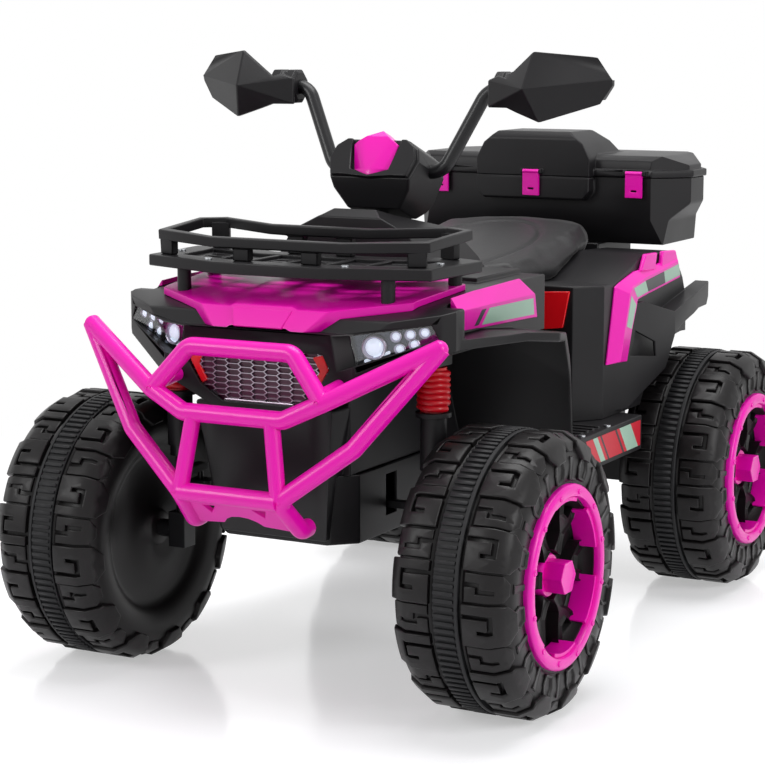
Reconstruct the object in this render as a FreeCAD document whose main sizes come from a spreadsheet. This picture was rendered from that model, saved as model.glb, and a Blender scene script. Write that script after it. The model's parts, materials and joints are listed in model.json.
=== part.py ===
"""Kids quad bike: parametric document, millimetres, front towards -Y, rider's left towards +X."""
import FreeCAD, Part
import math
import os
import re
import Sketcher
from FreeCAD import Placement, Rotation, Vector

SIZES = {
    # wheels and axles
    "wheelbase": 772, "front_track": 590, "rear_track": 544, "tyre_radius": 180, "tyre_half": 77,
    "skin": 4, "fit_gap": 0.4, "run_gap": 0.06, "axle_radius": 6, "nut_radius": 10, "nut_length": 10,
    "hub_radius": 20, "hub_back": 72, "web_back": 60, "bulge_radius": 140, "shoulder_in": 23,
    "shoulder_edge": 9, "shoulder_drop": 8, "dish_floor": 44, "dish_radius": 97, "ring_seat": 74,
    "ring_radius": 116, "ring_proud": 11, "liner_depth": 18, "liner_wall": 2.8, "band_half": 17,
    "band_depth": 10, "groove_depth": 8, "lug_count": 12, "lug_angle": 17, "spoke_count": 6,
    "spoke_rise": 18, "spoke_waist": 10, "spoke_foot": 12, "spoke_fork": 25, "cap_radius": 29,
    "cap_cavity": 15, "cap_hex": 22, "cap_rise": 24,
    # steering and struts
    "king_offset": 105, "king_radius": 7, "collar_height": 14, "strut_radius": 17, "strut_length": 75,
    "seat_radius": 23, "spring_room": 58, "tower_drop": 15, "tower_height": 40, "tower_half": 24,
    "tower_end": 15, "post_half": 45, "spine_half": 22, "wire_radius": 3.5, "coil_radius": 17,
    "coil_turns": 4.5, "knuckle_half": 13, "knuckle_low": 22, "knuckle_high": 26, "arm_length": 48,
    "arm_half": 8, "arm_lift": 74, "arm_thick": 10, "pin_radius": 4, "pin_slack": 0.7, "rod_drop": 22,
    "rod_thick": 10, "rod_half": 6, "rake": 20, "head_reach": 236, "head_rise": 130, "column_radius": 9,
    "column_clear": 6, "pitman_length": 35, "pitman_lift": 88,
    # pan, footboards and drive
    "pan_half": 105, "pan_rise": 20, "pan_height": 90, "pan_nose": 66, "pan_tail": 84, "pan_wall": 5,
    "pan_chamfer": 28, "pad_half": 75, "pad_length": 180, "pad_drop": 8, "board_out": 265,
    "board_lift": 45, "board_height": 50, "board_chamfer": 27, "rib_pitch": 20,
    "rib_width": 8, "rib_rise": 3, "collar_length": 14, "case_drop": 30, "case_rise": 60, "case_front": 46,
    "case_back": 54, "motor_radius": 22, "motor_length": 78, "battery_half": 75, "battery_length": 100,
    "battery_height": 72, "pedal_x": -185, "pedal_half": 34, "pedal_pivot": 125.1, "pedal_pin": 2.5,
    # front body
    "core_half": 100, "core_height": 155, "deck_height": 75, "deck_margin": 24,
    "nose_reach": 114, "nose_side_back": 60,
    "nose_drop": 73, "nose_depth": 100, "lip_drop": 43, "brow_drop": 17, "hood_thick": 9,
    "hood_half": 192, "lip_half": 66, "hood_reach": 124, "fascia_low": 7, "fascia_half": 78,
    "flare_rise": 23, "flare_thick": 12, "flare_out": 5, "grille_depth": 6,
    "lens_depth": 12, "fender_proud": 10,
    # bull bar: how far out, ahead of the front axle and above the deck's underside each corner is
    "bar_radius": 11.5, "bar_bend": 18, "stay_length": 52, "plate_thick": 4,
    "tip_out": 255, "tip_fore": 106, "tip_rise": 25, "elbow_out": 123, "elbow_fore": 164, "elbow_rise": -44,
    "sill_out": 72, "sill_fore": 172, "sill_rise": -68, "hoop_out": 75, "hoop_fore": 152, "hoop_rise": 12,
    "knee_out": 160, "knee_fore": 154, "knee_rise": -99, "toe_out": 71, "toe_fore": 182.5, "toe_rise": -167,
    "foot_out": 78, "foot_fore": 138, "foot_rise": -211, "heel_out": 78, "heel_fore": 82, "heel_rise": -205,
    # rack
    "tray_lift": 21, "tray_thick": 15, "tray_front": 88, "tray_rear": 104, "tray_rim": 40,
    "rail_lift": 15, "rail_height": 13, "rail_width": 11, "rail_inset": 10, "rail_tilt": 4, "leg_radius": 9,
    "post_width": 24,
    # seat and rear body
    "seat_lift": 15, "seat_slope": 0.179, "seat_half": 112, "seat_height": 70, "seat_crown": 11,
    "seat_tuck": 6, "tier_in": 118, "tier_out": 230, "tier_tail": 14, "saddle_tail": 94,
    "arch_gap": 26, "rear_flare_gap": 52, "rear_flare_out": 258, "panel_thick": 4, "strip_thick": 9,
    # storage box
    "box_lead": 41, "box_tail": 180, "box_half": 236, "tub_height": 102, "lid_height": 33, "hump_rise": 36,
    "rim_height": 12, "rim_proud": 4, "bulge_out": 20, "bulge_half": 96, "hinge_gap": 8, "barrel_radius": 6,
    "barrel_half": 78, "ear_length": 40, "hinge_pin": 3, "latch_half": 13.5, "latch_drop": 30,
    "latch_x": 165, "latch_thick": 4, "latch_pin": 1.5, "latch_rise": 7.5,
    # handlebar and controls
    "tube_radius": 9.5, "tube_wall": 1.6, "tube_bend": 28, "bar_rise": 118, "bar_back": 25,
    "bar_knee_x": 139, "bar_foot_x": 84, "bar_end": 280, "grip_radius": 15, "grip_in": 200,
    "guard_thick": 6, "clamp_radius": 18.5, "dash_run": 44, "dash_fall": 55, "button_radius": 9,
    "button_x": 32, "button_length": 13, "rocker_half": 9, "rocker_pin": 2, "screw_radius": 5,
    "screw_height": 2.4,
}

# Places that follow from the sizes, as formulas in the same sheet
PLACES = {
    "front_y": "-wheelbase / 2", "rear_y": "wheelbase / 2", "king_x": "front_track / 2 - king_offset",
    "pan_low": "tyre_radius + pan_rise", "pan_top": "pan_low + pan_height",
    "pan_front": "front_y - pan_nose", "pan_rear": "rear_y + pan_tail", "board_low": "pan_low + board_lift",
    "board_top": "board_low + board_height", "board_front": "front_y + 0.325 * wheelbase",
    "board_rear": "rear_y - 0.325 * wheelbase", "deck_low": "pan_top + core_height",
    "deck_top": "deck_low + deck_height", "flare_rear": "front_y + 0.35 * wheelbase",
    "deck_rear": "flare_rear + 15.8", "deck_half": "king_x + deck_margin",
    "nose_front": "front_y - nose_reach", "nose_half": "king_x - 54", "nose_side_x": "king_x + 38",
    "nose_wing": "king_x + 50", "nose_side_y": "nose_front + nose_side_back",
    "nose_low": "deck_low - nose_drop", "nose_rear": "nose_front + nose_depth",
    "hood_rear": "front_y + hood_reach", "flare_top": "deck_low + flare_rise",
    "tower_low": "deck_low - tower_drop", "tower_top": "tower_low + tower_height",
    "spring_low": "tower_low - spring_room", "collar_top": "spring_low - strut_length",
    "arm_low": "tyre_radius + arm_lift", "rod_low": "arm_low - rod_drop",
    "rod_line": "front_y + arm_length", "head_y": "front_y + head_reach", "head_z": "deck_top + head_rise",
    "pitman_z": "tyre_radius + pitman_lift", "bar_top_z": "head_z + bar_rise",
    "bar_top_y": "head_y + bar_back", "tray_half": "deck_half + 2", "tray_low": "deck_top + tray_lift",
    "tray_top": "tray_low + tray_thick", "rail_low": "tray_top + rail_lift", "guard_out": "bar_end + 26",
    "case_out": "rear_track / 2 - hub_back - collar_length", "box_low": "deck_top",
    "seam_z": "box_low + tub_height", "lid_top": "seam_z + lid_height", "hump_top": "lid_top + hump_rise",
    "box_front": "rear_y - box_lead", "box_rear": "rear_y + box_tail",
    "bulge_front": "box_front - bulge_out", "hinge_y": "box_rear + hinge_gap",
    "latch_low": "seam_z - latch_drop", "latch_z": "seam_z + latch_rise",
    "tier_front": "rear_y - 0.4637 * wheelbase", "tier_rear": "rear_y + tier_tail",
    "saddle_rear": "rear_y + saddle_tail", "rear_flare_z": "2 * tyre_radius + rear_flare_gap",
    "hub_face": "front_track / 2 - hub_back", "ring_face": "ring_seat + ring_proud",
    "crown": "tyre_radius - groove_depth", "dash_foot": "deck_rear + 14",
    "dash_y": "dash_foot - dash_run / 2", "dash_z": "deck_top + 4 + dash_fall / 2",
    "dash_lean": "atan(dash_fall / dash_run)",
}

doc = FreeCAD.newDocument("quad_bike")
sheet = doc.addObject("Spreadsheet::Sheet", "dims")
rows = [(alias, str(value)) for alias, value in SIZES.items()]
rows += [(alias, f"={formula}") for alias, formula in PLACES.items()]
for row, (alias, entry) in enumerate(rows, start=1):
    sheet.set(f"A{row}", alias)
    sheet.set(f"B{row}", entry)
    sheet.setAlias(f"B{row}", alias)
doc.recompute()

NAMES = {alias for alias, _ in rows}
WORDS = re.compile(r"[a-z_]+")
nodes = {}


def bound(text):
    """An expression on the sheet's aliases, written for an object outside the sheet."""
    return WORDS.sub(lambda word: f"dims.{word[0]}" if word[0] in NAMES else word[0], str(text))


def num(text):
    """The value of such an expression now."""
    value = sheet.evalExpression(str(text))
    return float(getattr(value, "Value", value))


def vec(*texts):
    return Vector(*(num(text) for text in texts))


def minus(text):
    return f"-({text})"


def keep(label, item):
    item.Label = label
    nodes[label] = item
    return item


def origin_part(body, role):
    return next(part for part in body.Origin.OriginFeatures if part.Role == role)


def draw(body, name, plane, offset, loops, turn=0):
    """A fully bound sketch of closed polygons on one of the body's origin planes."""
    sketch = body.newObject("Sketcher::SketchObject", name)
    sketch.AttachmentSupport = [(origin_part(body, f"{plane}_Plane"), "")]
    sketch.MapMode = "FlatFace"
    sketch.AttachmentOffset = Placement(Vector(), Rotation(Vector(1, 0, 0), turn))
    sketch.setExpression("AttachmentOffset.Base.z", bound(offset))
    for loop in loops:
        first = sketch.GeometryCount
        spots = [vec(across, up, 0) for across, up in loop]
        count = len(spots)
        for step in range(count):
            sketch.addGeometry(Part.LineSegment(spots[step], spots[(step + 1) % count]), False)
        for step in range(count):
            after = first + (step + 1) % count
            sketch.addConstraint(Sketcher.Constraint("Coincident", first + step, 2, after, 1))
        for step, (across, up) in enumerate(loop):
            for kind, text, value in (("DistanceX", across, spots[step].x),
                                      ("DistanceY", up, spots[step].y)):
                index = sketch.addConstraint(Sketcher.Constraint(kind, -1, 1, first + step, 1, value))
                sketch.setExpression(f"Constraints[{index}]", bound(text))
    return sketch


def prism(name, plane, low, high, *loops):
    """A padded outline between two places on the axis that its plane stands on."""
    body = doc.addObject("PartDesign::Body", name)
    start = minus(high) if plane == "XZ" else low
    sketch = draw(body, f"{name}_outline", plane, start, loops)
    pad = body.newObject("PartDesign::Pad", f"{name}_pad")
    pad.Profile = sketch
    pad.setExpression("Length", bound(f"({high}) - ({low})"))
    return body


def spun(name, *loops):
    """A body turned about X from an outline of (axial, radius) points."""
    body = doc.addObject("PartDesign::Body", name)
    turn = body.newObject("PartDesign::Revolution", f"{name}_turn")
    sketch = draw(body, f"{name}_outline", "XY", "0", loops)
    turn.Profile = sketch
    turn.ReferenceAxis = (sketch, ["H_Axis"])
    turn.Angle = 360
    body.Tip = turn
    return body


def ring_of(body, feature, name, count):
    """Repeats a body's feature around X."""
    pattern = body.newObject("PartDesign::PolarPattern", name)
    pattern.Originals = [feature]
    pattern.Axis = (origin_part(body, "X_Axis"), [""])
    pattern.setExpression("Occurrences", bound(count))
    body.Tip = pattern


def place(item, x, y, z):
    for axis, text in zip("xyz", (x, y, z)):
        item.setExpression(f"Placement.Base.{axis}", bound(text))
    return item


def block(name, x, y, z):
    """A box between pairs of places on each axis."""
    box = doc.addObject("Part::Box", name)
    for side, (low, high) in zip(("Length", "Width", "Height"), (x, y, z)):
        box.setExpression(side, bound(f"({high}) - ({low})"))
    return place(box, x[0], y[0], z[0])


TURNS = {"X": Rotation(Vector(0, 1, 0), 90), "Y": Rotation(Vector(1, 0, 0), -90), "Z": Rotation()}


def rod(name, axis, radius, start, length):
    """A cylinder along one axis from its start."""
    cylinder = doc.addObject("Part::Cylinder", name)
    cylinder.Placement = Placement(Vector(), TURNS[axis])
    cylinder.setExpression("Radius", bound(radius))
    cylinder.setExpression("Height", bound(length))
    return place(cylinder, *start)


def combine(kind, name, items):
    item = doc.addObject(f"Part::Multi{kind}", name)
    item.Shapes = items
    item.Refine = True
    return item


def fuse(name, *items):
    return combine("Fuse", name, list(items))


def common(name, *items):
    return combine("Common", name, list(items))


def cut(name, base, *tools):
    item = doc.addObject("Part::Cut", name)
    item.Base = base
    item.Tool = tools[0] if len(tools) == 1 else fuse(f"{name}_tools", *tools)
    item.Refine = True
    return item


def mirror(name, source):
    item = doc.addObject("Part::Mirroring", name)
    item.Source = source
    item.Normal = Vector(1, 0, 0)
    return item


def both(name, source):
    """A piece and its mirror, fused."""
    return fuse(name, source, mirror(f"{name}_right", source))


def group(name, *items):
    item = doc.addObject("Part::Compound", name)
    item.Links = list(items)
    return item


def twins(label, source):
    """One node of a piece and its mirrored piece."""
    return keep(label, group(f"{label}_group", source, mirror(f"{label}_right", source)))


def pair(label, source):
    """A left piece and its mirrored right piece."""
    keep(f"left_{label}", source)
    return keep(f"right_{label}", mirror(f"right_{label}_mirrored", source))


def coded(label, shape):
    item = doc.addObject("Part::Feature", f"{label}_form")
    item.Shape = shape
    return item


def symmetric(points):
    """A closed outline from the points of its +X half, bottom to top."""
    return points + [(minus(across), up) for across, up in reversed(points)]


def flip(spot):
    return Vector(-spot.x, spot.y, spot.z)


def bent_tube(points, radius, bend, closed=False):
    """A round bar along straight runs that are joined by arcs of one bend radius."""
    count = len(points)
    corners = range(count) if closed else range(1, count - 1)
    ends = {}
    arcs = {}
    for index in corners:
        here = points[index]
        back = (points[index - 1] - here).normalize()
        ahead = (points[(index + 1) % count] - here).normalize()
        half = back.getAngle(ahead) / 2
        reach = bend / math.tan(half)
        middle = here + (back + ahead).normalize() * (bend / math.sin(half) - bend)
        ends[index] = (here + back * reach, here + ahead * reach)
        arcs[index] = Part.Arc(ends[index][0], middle, ends[index][1]).toShape()
    edges = []
    for index in range(count if closed else count - 1):
        after = (index + 1) % count
        leave = ends[index][1] if index in ends else points[index]
        arrive = ends[after][0] if after in ends else points[after]
        edges.append(Part.makeLine(leave, arrive))
        if after in arcs:
            edges.append(arcs[after])
    start = edges[0].valueAt(edges[0].FirstParameter)
    lead = edges[0].tangentAt(edges[0].FirstParameter)
    profile = Part.Wire([Part.makeCircle(radius, start, lead)])
    return Part.Wire(edges).makePipeShell([profile], True, False)


def head_frame(item, up="0"):
    """Stands an object on the raked steering axis, at a distance along it from the head."""
    item.Placement = Placement(Vector(), Rotation(Vector(1, 0, 0), -num("rake")))
    return place(item, "0", f"head_y + ({up}) * sin(rake)", f"head_z + ({up}) * cos(rake)")


def pitman_spot(height):
    """Where the pitman pin, parallel to the raked axis, is at a height."""
    return f"(head_y + pitman_length / cos(rake) + (({height}) - head_z) * tan(rake))"


# Wheels, built once around X with the outer face towards +X
def tyre_outlines():
    """The moulded tyre's outside and the closed hollow inside it."""
    bore = "(axle_radius + run_gap)"
    floor = "tyre_radius - band_depth"
    side = [("tyre_half", "bulge_radius"), ("tyre_half - shoulder_edge", "crown - shoulder_drop"),
            ("tyre_half - shoulder_in", "crown"), ("band_half", "crown"), ("band_half", floor)]
    outer = [
        ("-hub_back", bore), ("-hub_back", "hub_radius + skin"), ("-web_back", "hub_radius + 2 * skin"),
        ("-web_back", "ring_radius"), ("2 - tyre_half", "ring_radius + 8"),
    ]
    outer += [(minus(across), up) for across, up in side] + list(reversed(side))
    outer += [("ring_seat", "ring_radius + 2"), ("ring_seat", "dish_radius"), ("dish_floor", "dish_radius"),
              ("dish_floor", bore)]
    wall = [("tyre_half - skin", "bulge_radius"),
            ("tyre_half - shoulder_edge - skin", "crown - shoulder_drop - skin - 1"),
            ("tyre_half - shoulder_in - skin + 1", f"{floor} - skin - 1")]
    void = [("skin - web_back", "hub_radius"), ("skin - web_back", "ring_radius - skin"),
            ("skin + 2 - tyre_half", "ring_radius + 10")]
    void += [(minus(across), up) for across, up in wall] + list(reversed(wall))
    void += [("ring_seat - skin", "ring_radius + 4"), ("ring_seat - skin", "dish_radius + skin"),
             ("dish_floor - skin", "dish_radius + skin"), ("dish_floor - skin", "hub_radius")]
    return outer, void


def add_lugs(tyre):
    """Tread blocks over both shoulders, staggered by half a pitch."""
    lug = [
        ("band_half + 4", "crown - 3"), ("band_half + 4", "tyre_radius"),
        ("tyre_half - 20", "tyre_radius - 1"), ("tyre_half - 5", "tyre_radius - 12"),
        ("tyre_half + 2.5", "bulge_radius + 8"), ("tyre_half - 2", "bulge_radius + 2"),
        ("tyre_half - 12", "crown - 9"), ("tyre_half - 25", "crown - 3"),
    ]
    half_pitch = 180 / num("lug_count")
    for side, turn in (("outer", 0), ("inner", half_pitch)):
        loop = lug if side == "outer" else [(minus(across), up) for across, up in lug]
        sketch = draw(tyre, f"{side}_lug_outline", "XY", "0", [loop], turn)
        lug_turn = tyre.newObject("PartDesign::Revolution", f"{side}_lug")
        lug_turn.Profile = sketch
        lug_turn.ReferenceAxis = (sketch, ["H_Axis"])
        lug_turn.setExpression("Angle", bound("lug_angle"))
        ring_of(tyre, lug_turn, f"{side}_lugs", "lug_count")


def add_spokes(tyre):
    """Raised spokes with forked ends on the floor of the dish."""
    half = [("cap_radius + 3", "spoke_foot"), ("dish_radius * 0.54", "spoke_waist"),
            ("dish_radius - spoke_fork", "spoke_fork - 2"), ("dish_radius - spoke_waist", "spoke_fork"),
            ("dish_radius - 6", "spoke_foot")]
    loop = [(out, minus(wide)) for out, wide in half] + [("dish_radius - 21", "0")] + list(reversed(half))
    spoke = tyre.newObject("PartDesign::Pad", "spoke")
    spoke.Profile = draw(tyre, "spoke_outline", "YZ", "dish_floor - 1", [loop])
    spoke.setExpression("Length", bound("spoke_rise + 1"))
    ring_of(tyre, spoke, "spokes", "spoke_count")


def make_trim():
    """The ring that liners the dish, and the hub cap."""
    shell = "(dish_radius - fit_gap)"
    ring = spun("ring_form", [
        ("ring_seat", "ring_radius"), ("ring_face - 3", "ring_radius"), ("ring_face", "ring_radius - 4"),
        ("ring_face", "dish_radius + 4"), ("ring_face - 4", "dish_radius"),
        ("ring_seat", f"{shell} - liner_wall + 0.5"), ("ring_seat - liner_depth", f"{shell} - liner_wall"),
        ("ring_seat - liner_depth", shell), ("ring_seat", shell),
    ])
    top = "(dish_floor + cap_rise)"
    cone = spun("cap_cone",
                [("dish_floor", "cap_cavity"), ("dish_floor", "cap_radius"), (top, "cap_radius - 5"),
                             (top, "cap_cavity")])
    hexagon = [(f"cap_hex * cos({60 * step})", f"cap_hex * sin({60 * step})") for step in range(6)]
    head = prism("cap_head", "YZ", f"{top} - 1", "ring_face - 2", hexagon)
    hollow = rod("cap_hollow", "X", "cap_cavity", ("dish_floor", "0", "0"), "ring_face - 7 - dish_floor")
    return group("trim_form", ring, cut("cap_form", fuse("cap_solid", cone, head), hollow))


def make_wheels():
    outer, void = tyre_outlines()
    body = spun("tyre_body", outer)
    add_lugs(body)
    add_spokes(body)
    tyre = cut("tyre_form", body, spun("tyre_void", void))
    edge = "(band_half - fit_gap / 2)"
    floor = "tyre_radius - band_depth"
    band = spun("band_form", [(minus(edge), floor), (edge, floor), (edge, "tyre_radius"),
                              (minus(edge), "tyre_radius")])
    trim = make_trim()
    corners = {
        "front_left": ("front_track / 2", "front_y", 0),
        "front_right": ("-front_track / 2", "front_y", 180), "rear_left": ("rear_track / 2", "rear_y", 0),
        "rear_right": ("-rear_track / 2", "rear_y", 180),
    }
    for corner, (x, y, turn) in corners.items():
        for piece, form in (("tyre", tyre), ("traction_band", band), ("wheel_trim", trim)):
            copy = group(f"{corner}_{piece}_copy", form)
            copy.Placement = Placement(Vector(), Rotation(Vector(0, 0, 1), turn))
            keep(f"{corner}_{piece}", place(copy, x, y, "tyre_radius"))


# Front suspension and steering, left side at +X
def helix_point(turn_angle, low, rise):
    radius = num("coil_radius")
    height = low + rise * turn_angle / (2 * math.pi)
    return Vector(radius * math.cos(turn_angle), radius * math.sin(turn_angle), height)


def arc_from(start, heading, end):
    """A circular arc that leaves its start along a heading."""
    chord = end - start
    along = Vector(chord).normalize()
    aside = heading - along * heading.dot(along)
    half = heading.getAngle(chord)
    middle = (start + end) * 0.5 + aside.normalize() * (chord.Length / 2 * math.tan(half / 2))
    return Part.Arc(start, middle, end).toShape()


def spring_shape():
    """One unbroken coil of biarcs, a quarter turn each, swept by the wire's round."""
    wire = num("wire_radius")
    low = num("spring_low + wire_radius + fit_gap")
    high = num("tower_low - wire_radius - fit_gap")
    turns = num("coil_turns")
    rise = (high - low) / turns
    quarter = math.pi / 2
    steps = round(turns * 4)
    spots = [helix_point(quarter * step, low, rise) for step in range(steps + 1)]
    slope = rise / (2 * math.pi)
    heads = [Vector(-spot.y, spot.x, slope).normalize() for spot in spots]
    edges = []
    for step in range(steps):
        here, there = spots[step], spots[step + 1]
        lead, tail = heads[step], heads[step + 1]
        chord = there - here
        spread = chord.dot(lead + tail)
        bend = 2 * (1 - lead.dot(tail))
        reach = (math.sqrt(spread * spread + bend * chord.dot(chord)) - spread) / bend
        knot = (here + lead * reach + there - tail * reach) * 0.5
        edges.append(arc_from(here, lead, knot))
        join = edges[-1].tangentAt(edges[-1].LastParameter)
        edges.append(arc_from(knot, join, there))
    fine = [helix_point(quarter * step / 6, low, rise) for step in range(steps * 6 + 1)]
    apart = min((a - b).Length for i, a in enumerate(fine) for b in fine[i + 12:])
    print(f"spring: least gap between turns {apart - 2 * wire:.2f} mm")
    profile = Part.Wire([Part.makeCircle(wire, spots[0], heads[0])])
    return Part.Wire(edges).makePipeShell([profile], True, False)


def make_knuckles():
    nut_low = "tower_top + fit_gap"
    axle = ("king_x", "front_y", "tyre_radius")
    end = "(front_track / 2 + dish_floor)"
    pieces = [
        rod("kingpin", "Z", "king_radius", axle, f"{nut_low} + 6 - tyre_radius"),
        rod("king_nut", "Z", "king_radius + 4", ("king_x", "front_y", nut_low), "6"),
        rod("king_collar", "Z", "strut_radius - 3", ("king_x", "front_y", "collar_top - collar_height"),
            "collar_height"),
        block("knuckle_hub", ("king_x - knuckle_half", "king_x + knuckle_half"),
              ("front_y - knuckle_half", "front_y + knuckle_half"),
              ("tyre_radius - knuckle_low", "tyre_radius + knuckle_high")),
        rod("stub_axle", "X", "axle_radius", axle, f"{end} + 2 * nut_length - king_x"),
        rod("stub_shoulder", "X", "2 * axle_radius", axle, "hub_face - fit_gap - king_x"),
        rod("stub_nut", "X", "nut_radius", (f"{end} + 2", "front_y", "tyre_radius"), "nut_length"),
        block("steering_arm", ("king_x - arm_half", "king_x + arm_half"),
              ("front_y", "rod_line + arm_half"), ("arm_low", "arm_low + arm_thick")),
        rod("arm_pin", "Z", "pin_radius", ("king_x", "rod_line", "rod_low - 8"), "arm_low - rod_low + 10"),
    ]
    pair("knuckle", fuse("knuckle_form", *pieces))


def make_struts():
    foot = ("king_x", "front_y", "collar_top + fit_gap")
    sleeve = rod("strut_sleeve", "Z", "strut_radius", foot, "strut_length - fit_gap")
    flange = rod("strut_flange", "Z", "seat_radius", ("king_x", "front_y", "spring_low - 6"), "6")
    bore = rod("strut_bore", "Z", "king_radius + run_gap", ("king_x", "front_y", "collar_top"),
               "strut_length")
    pair("strut", cut("strut_form", fuse("strut_solid", sleeve, flange), bore))
    pair("spring", place(coded("spring", spring_shape()), "king_x", "front_y", "0"))


def make_frame():
    """The moulded front frame: tower beam, hollow post, and the two bearings of the column."""
    deep = ("front_y - tower_half", "front_y + tower_half")
    hollow = ("front_y - tower_half + skin", "front_y + tower_half - skin")
    beam = block("tower_beam", ("-king_x - tower_end", "king_x + tower_end"), deep,
                 ("tower_low", "tower_top"))
    post = block("frame_post", ("-post_half", "post_half"), deep, ("pan_low + pan_wall", "tower_top"))
    spine = block("frame_spine", ("-spine_half", "spine_half"), ("front_y", "front_y + 196"),
                  ("tower_low + 10", "tower_top"))
    shelf = block("frame_shelf", ("-spine_half", "spine_half"), ("front_y", "front_y + 136"),
                  ("pan_top + 10", "pan_top + 36"))
    post_room = block("post_room", ("skin - post_half", "post_half - skin"), hollow,
                      ("pan_low", "tower_low - skin"))
    beam_room = block("beam_room", ("post_half + skin", "king_x - tower_end - skin"), hollow,
                      ("tower_low - 1", "tower_top - skin"))
    column_bore = head_frame(rod("column_bore", "Z", "column_radius + run_gap", ("0", "0", "0"), "460"),
                             "-440")
    king_bore = rod("tower_bore", "Z", "king_radius + run_gap", ("king_x", "front_y", "tower_low - 1"),
                    "tower_height + 2")
    solid = fuse("frame_solid", beam, post, spine, shelf)
    keep("front_frame", cut("frame_form", solid, column_bore, post_room, both("beam_rooms", beam_room),
                            both("tower_bores", king_bore)))


def make_tie_rod():
    """A bar with an eye at each knuckle arm and a slotted tongue for the pitman pin."""
    drop = pitman_spot("rod_low + rod_thick / 2")
    half = [
        ("king_x - 20", "rod_line - rod_half"), ("king_x - 14", "rod_line - 13"),
        ("king_x + 14", "rod_line - 13"), ("king_x + 14", "rod_line + 13"),
        ("king_x - 14", "rod_line + 13"), ("king_x - 20", "rod_line + rod_half"),
        ("30", "rod_line + rod_half"), ("20", "rod_line + 16"), ("20", f"{drop} + 20"),
    ]
    wide = "(pin_radius + pin_slack)"

    def slot(x, y, ahead, behind):
        return [(f"{x} - {wide}", f"{y} - {ahead}"), (f"{x} + {wide}", f"{y} - {ahead}"),
                (f"{x} + {wide}", f"{y} + {behind}"), (f"{x} - {wide}", f"{y} + {behind}")]

    eyes = [slot(f"{side}1 * king_x", "rod_line", f"({wide} + 4)", wide) for side in ("", "-")]
    tongue = slot("0", drop, "13", "11")
    keep("tie_rod", prism("tie_rod_form", "XY", "rod_low", "rod_low + rod_thick", symmetric(half), *eyes,
                          tongue))


# Pan with battery and drive
def make_pan():
    edge = symmetric([("pan_half - pan_chamfer", "pan_front"), ("pan_half", "pan_front + pan_chamfer"),
                      ("pan_half", "pan_rear")])
    inner = symmetric([("pan_half - pan_chamfer - pan_wall", "pan_front + pan_wall"),
                       ("pan_half - pan_wall", "pan_front + pan_chamfer + 2"),
                       ("pan_half - pan_wall", "pan_rear - pan_wall")])
    hull = prism("pan_hull", "XY", "pan_low", "pan_top", edge)
    room = prism("pan_room", "XY", "pan_low + pan_wall", "pan_top + 1", inner)
    window = block("rod_window", ("-pan_half - 10", "pan_half + 10"), ("rod_line - 14", "rod_line + 14"),
                   ("rod_low - 8", "pan_top - 12"))
    pad = block("stand_pad", ("-pad_half", "pad_half"), ("-pad_length / 2", "pad_length / 2"),
                ("pan_low - pad_drop", "pan_low + 1"))
    keep("underbody_pan", fuse("pan_form", cut("pan_tub", hull, room, window), pad))

    floor = "(pan_low + pan_wall)"
    battery = block("battery_form", ("-battery_half", "battery_half"), ("60", "60 + battery_length"),
                    (floor, f"{floor} + battery_height"))
    controller = block("controller_form", ("-45", "45"), ("80 + battery_length", "140 + battery_length"),
                       (floor, f"{floor} + 30"))
    keep("battery_and_controller", group("battery_group", battery, controller))


def make_drive():
    reach = "(rear_track / 2 + dish_floor + 2 * nut_length)"
    face = "(rear_track / 2 - hub_back - fit_gap)"
    shaft = rod("rear_shaft", "X", "axle_radius", (minus(reach), "rear_y", "tyre_radius"), f"2 * {reach}")
    nut = rod("rear_nut", "X", "nut_radius", (f"{reach} - 18", "rear_y", "tyre_radius"), "nut_length")
    collar = rod("rear_collar", "X", "nut_radius", ("case_out", "rear_y", "tyre_radius"),
                 f"{face} - case_out")
    keep("rear_axle", fuse("rear_axle_form", shaft, both("rear_nuts", nut), both("rear_collars", collar)))

    front, back = "rear_y - case_front", "rear_y + case_back"
    case = block("gear_case", ("pan_half", "case_out"), (front, back),
                 ("tyre_radius - case_drop", "tyre_radius + case_rise"))
    room = block("gear_room", ("pan_half + skin", "case_out - skin"), (f"{front} + skin", f"{back} - skin"),
                 ("tyre_radius - case_drop + skin", "tyre_radius + case_rise - skin"))
    hole = rod("gear_bore", "X", "axle_radius + run_gap", ("0", "rear_y", "tyre_radius"), "case_out + 5")
    shell = cut("gear_case_form", case, room, hole)
    can = rod("motor_can", "Y", "motor_radius",
              ("(pan_half + case_out) / 2", f"{front} - motor_length", "tyre_radius + case_rise - 25"),
              "motor_length")
    twins("gear_motors", group("gear_motor_form", shell, can))


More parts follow.
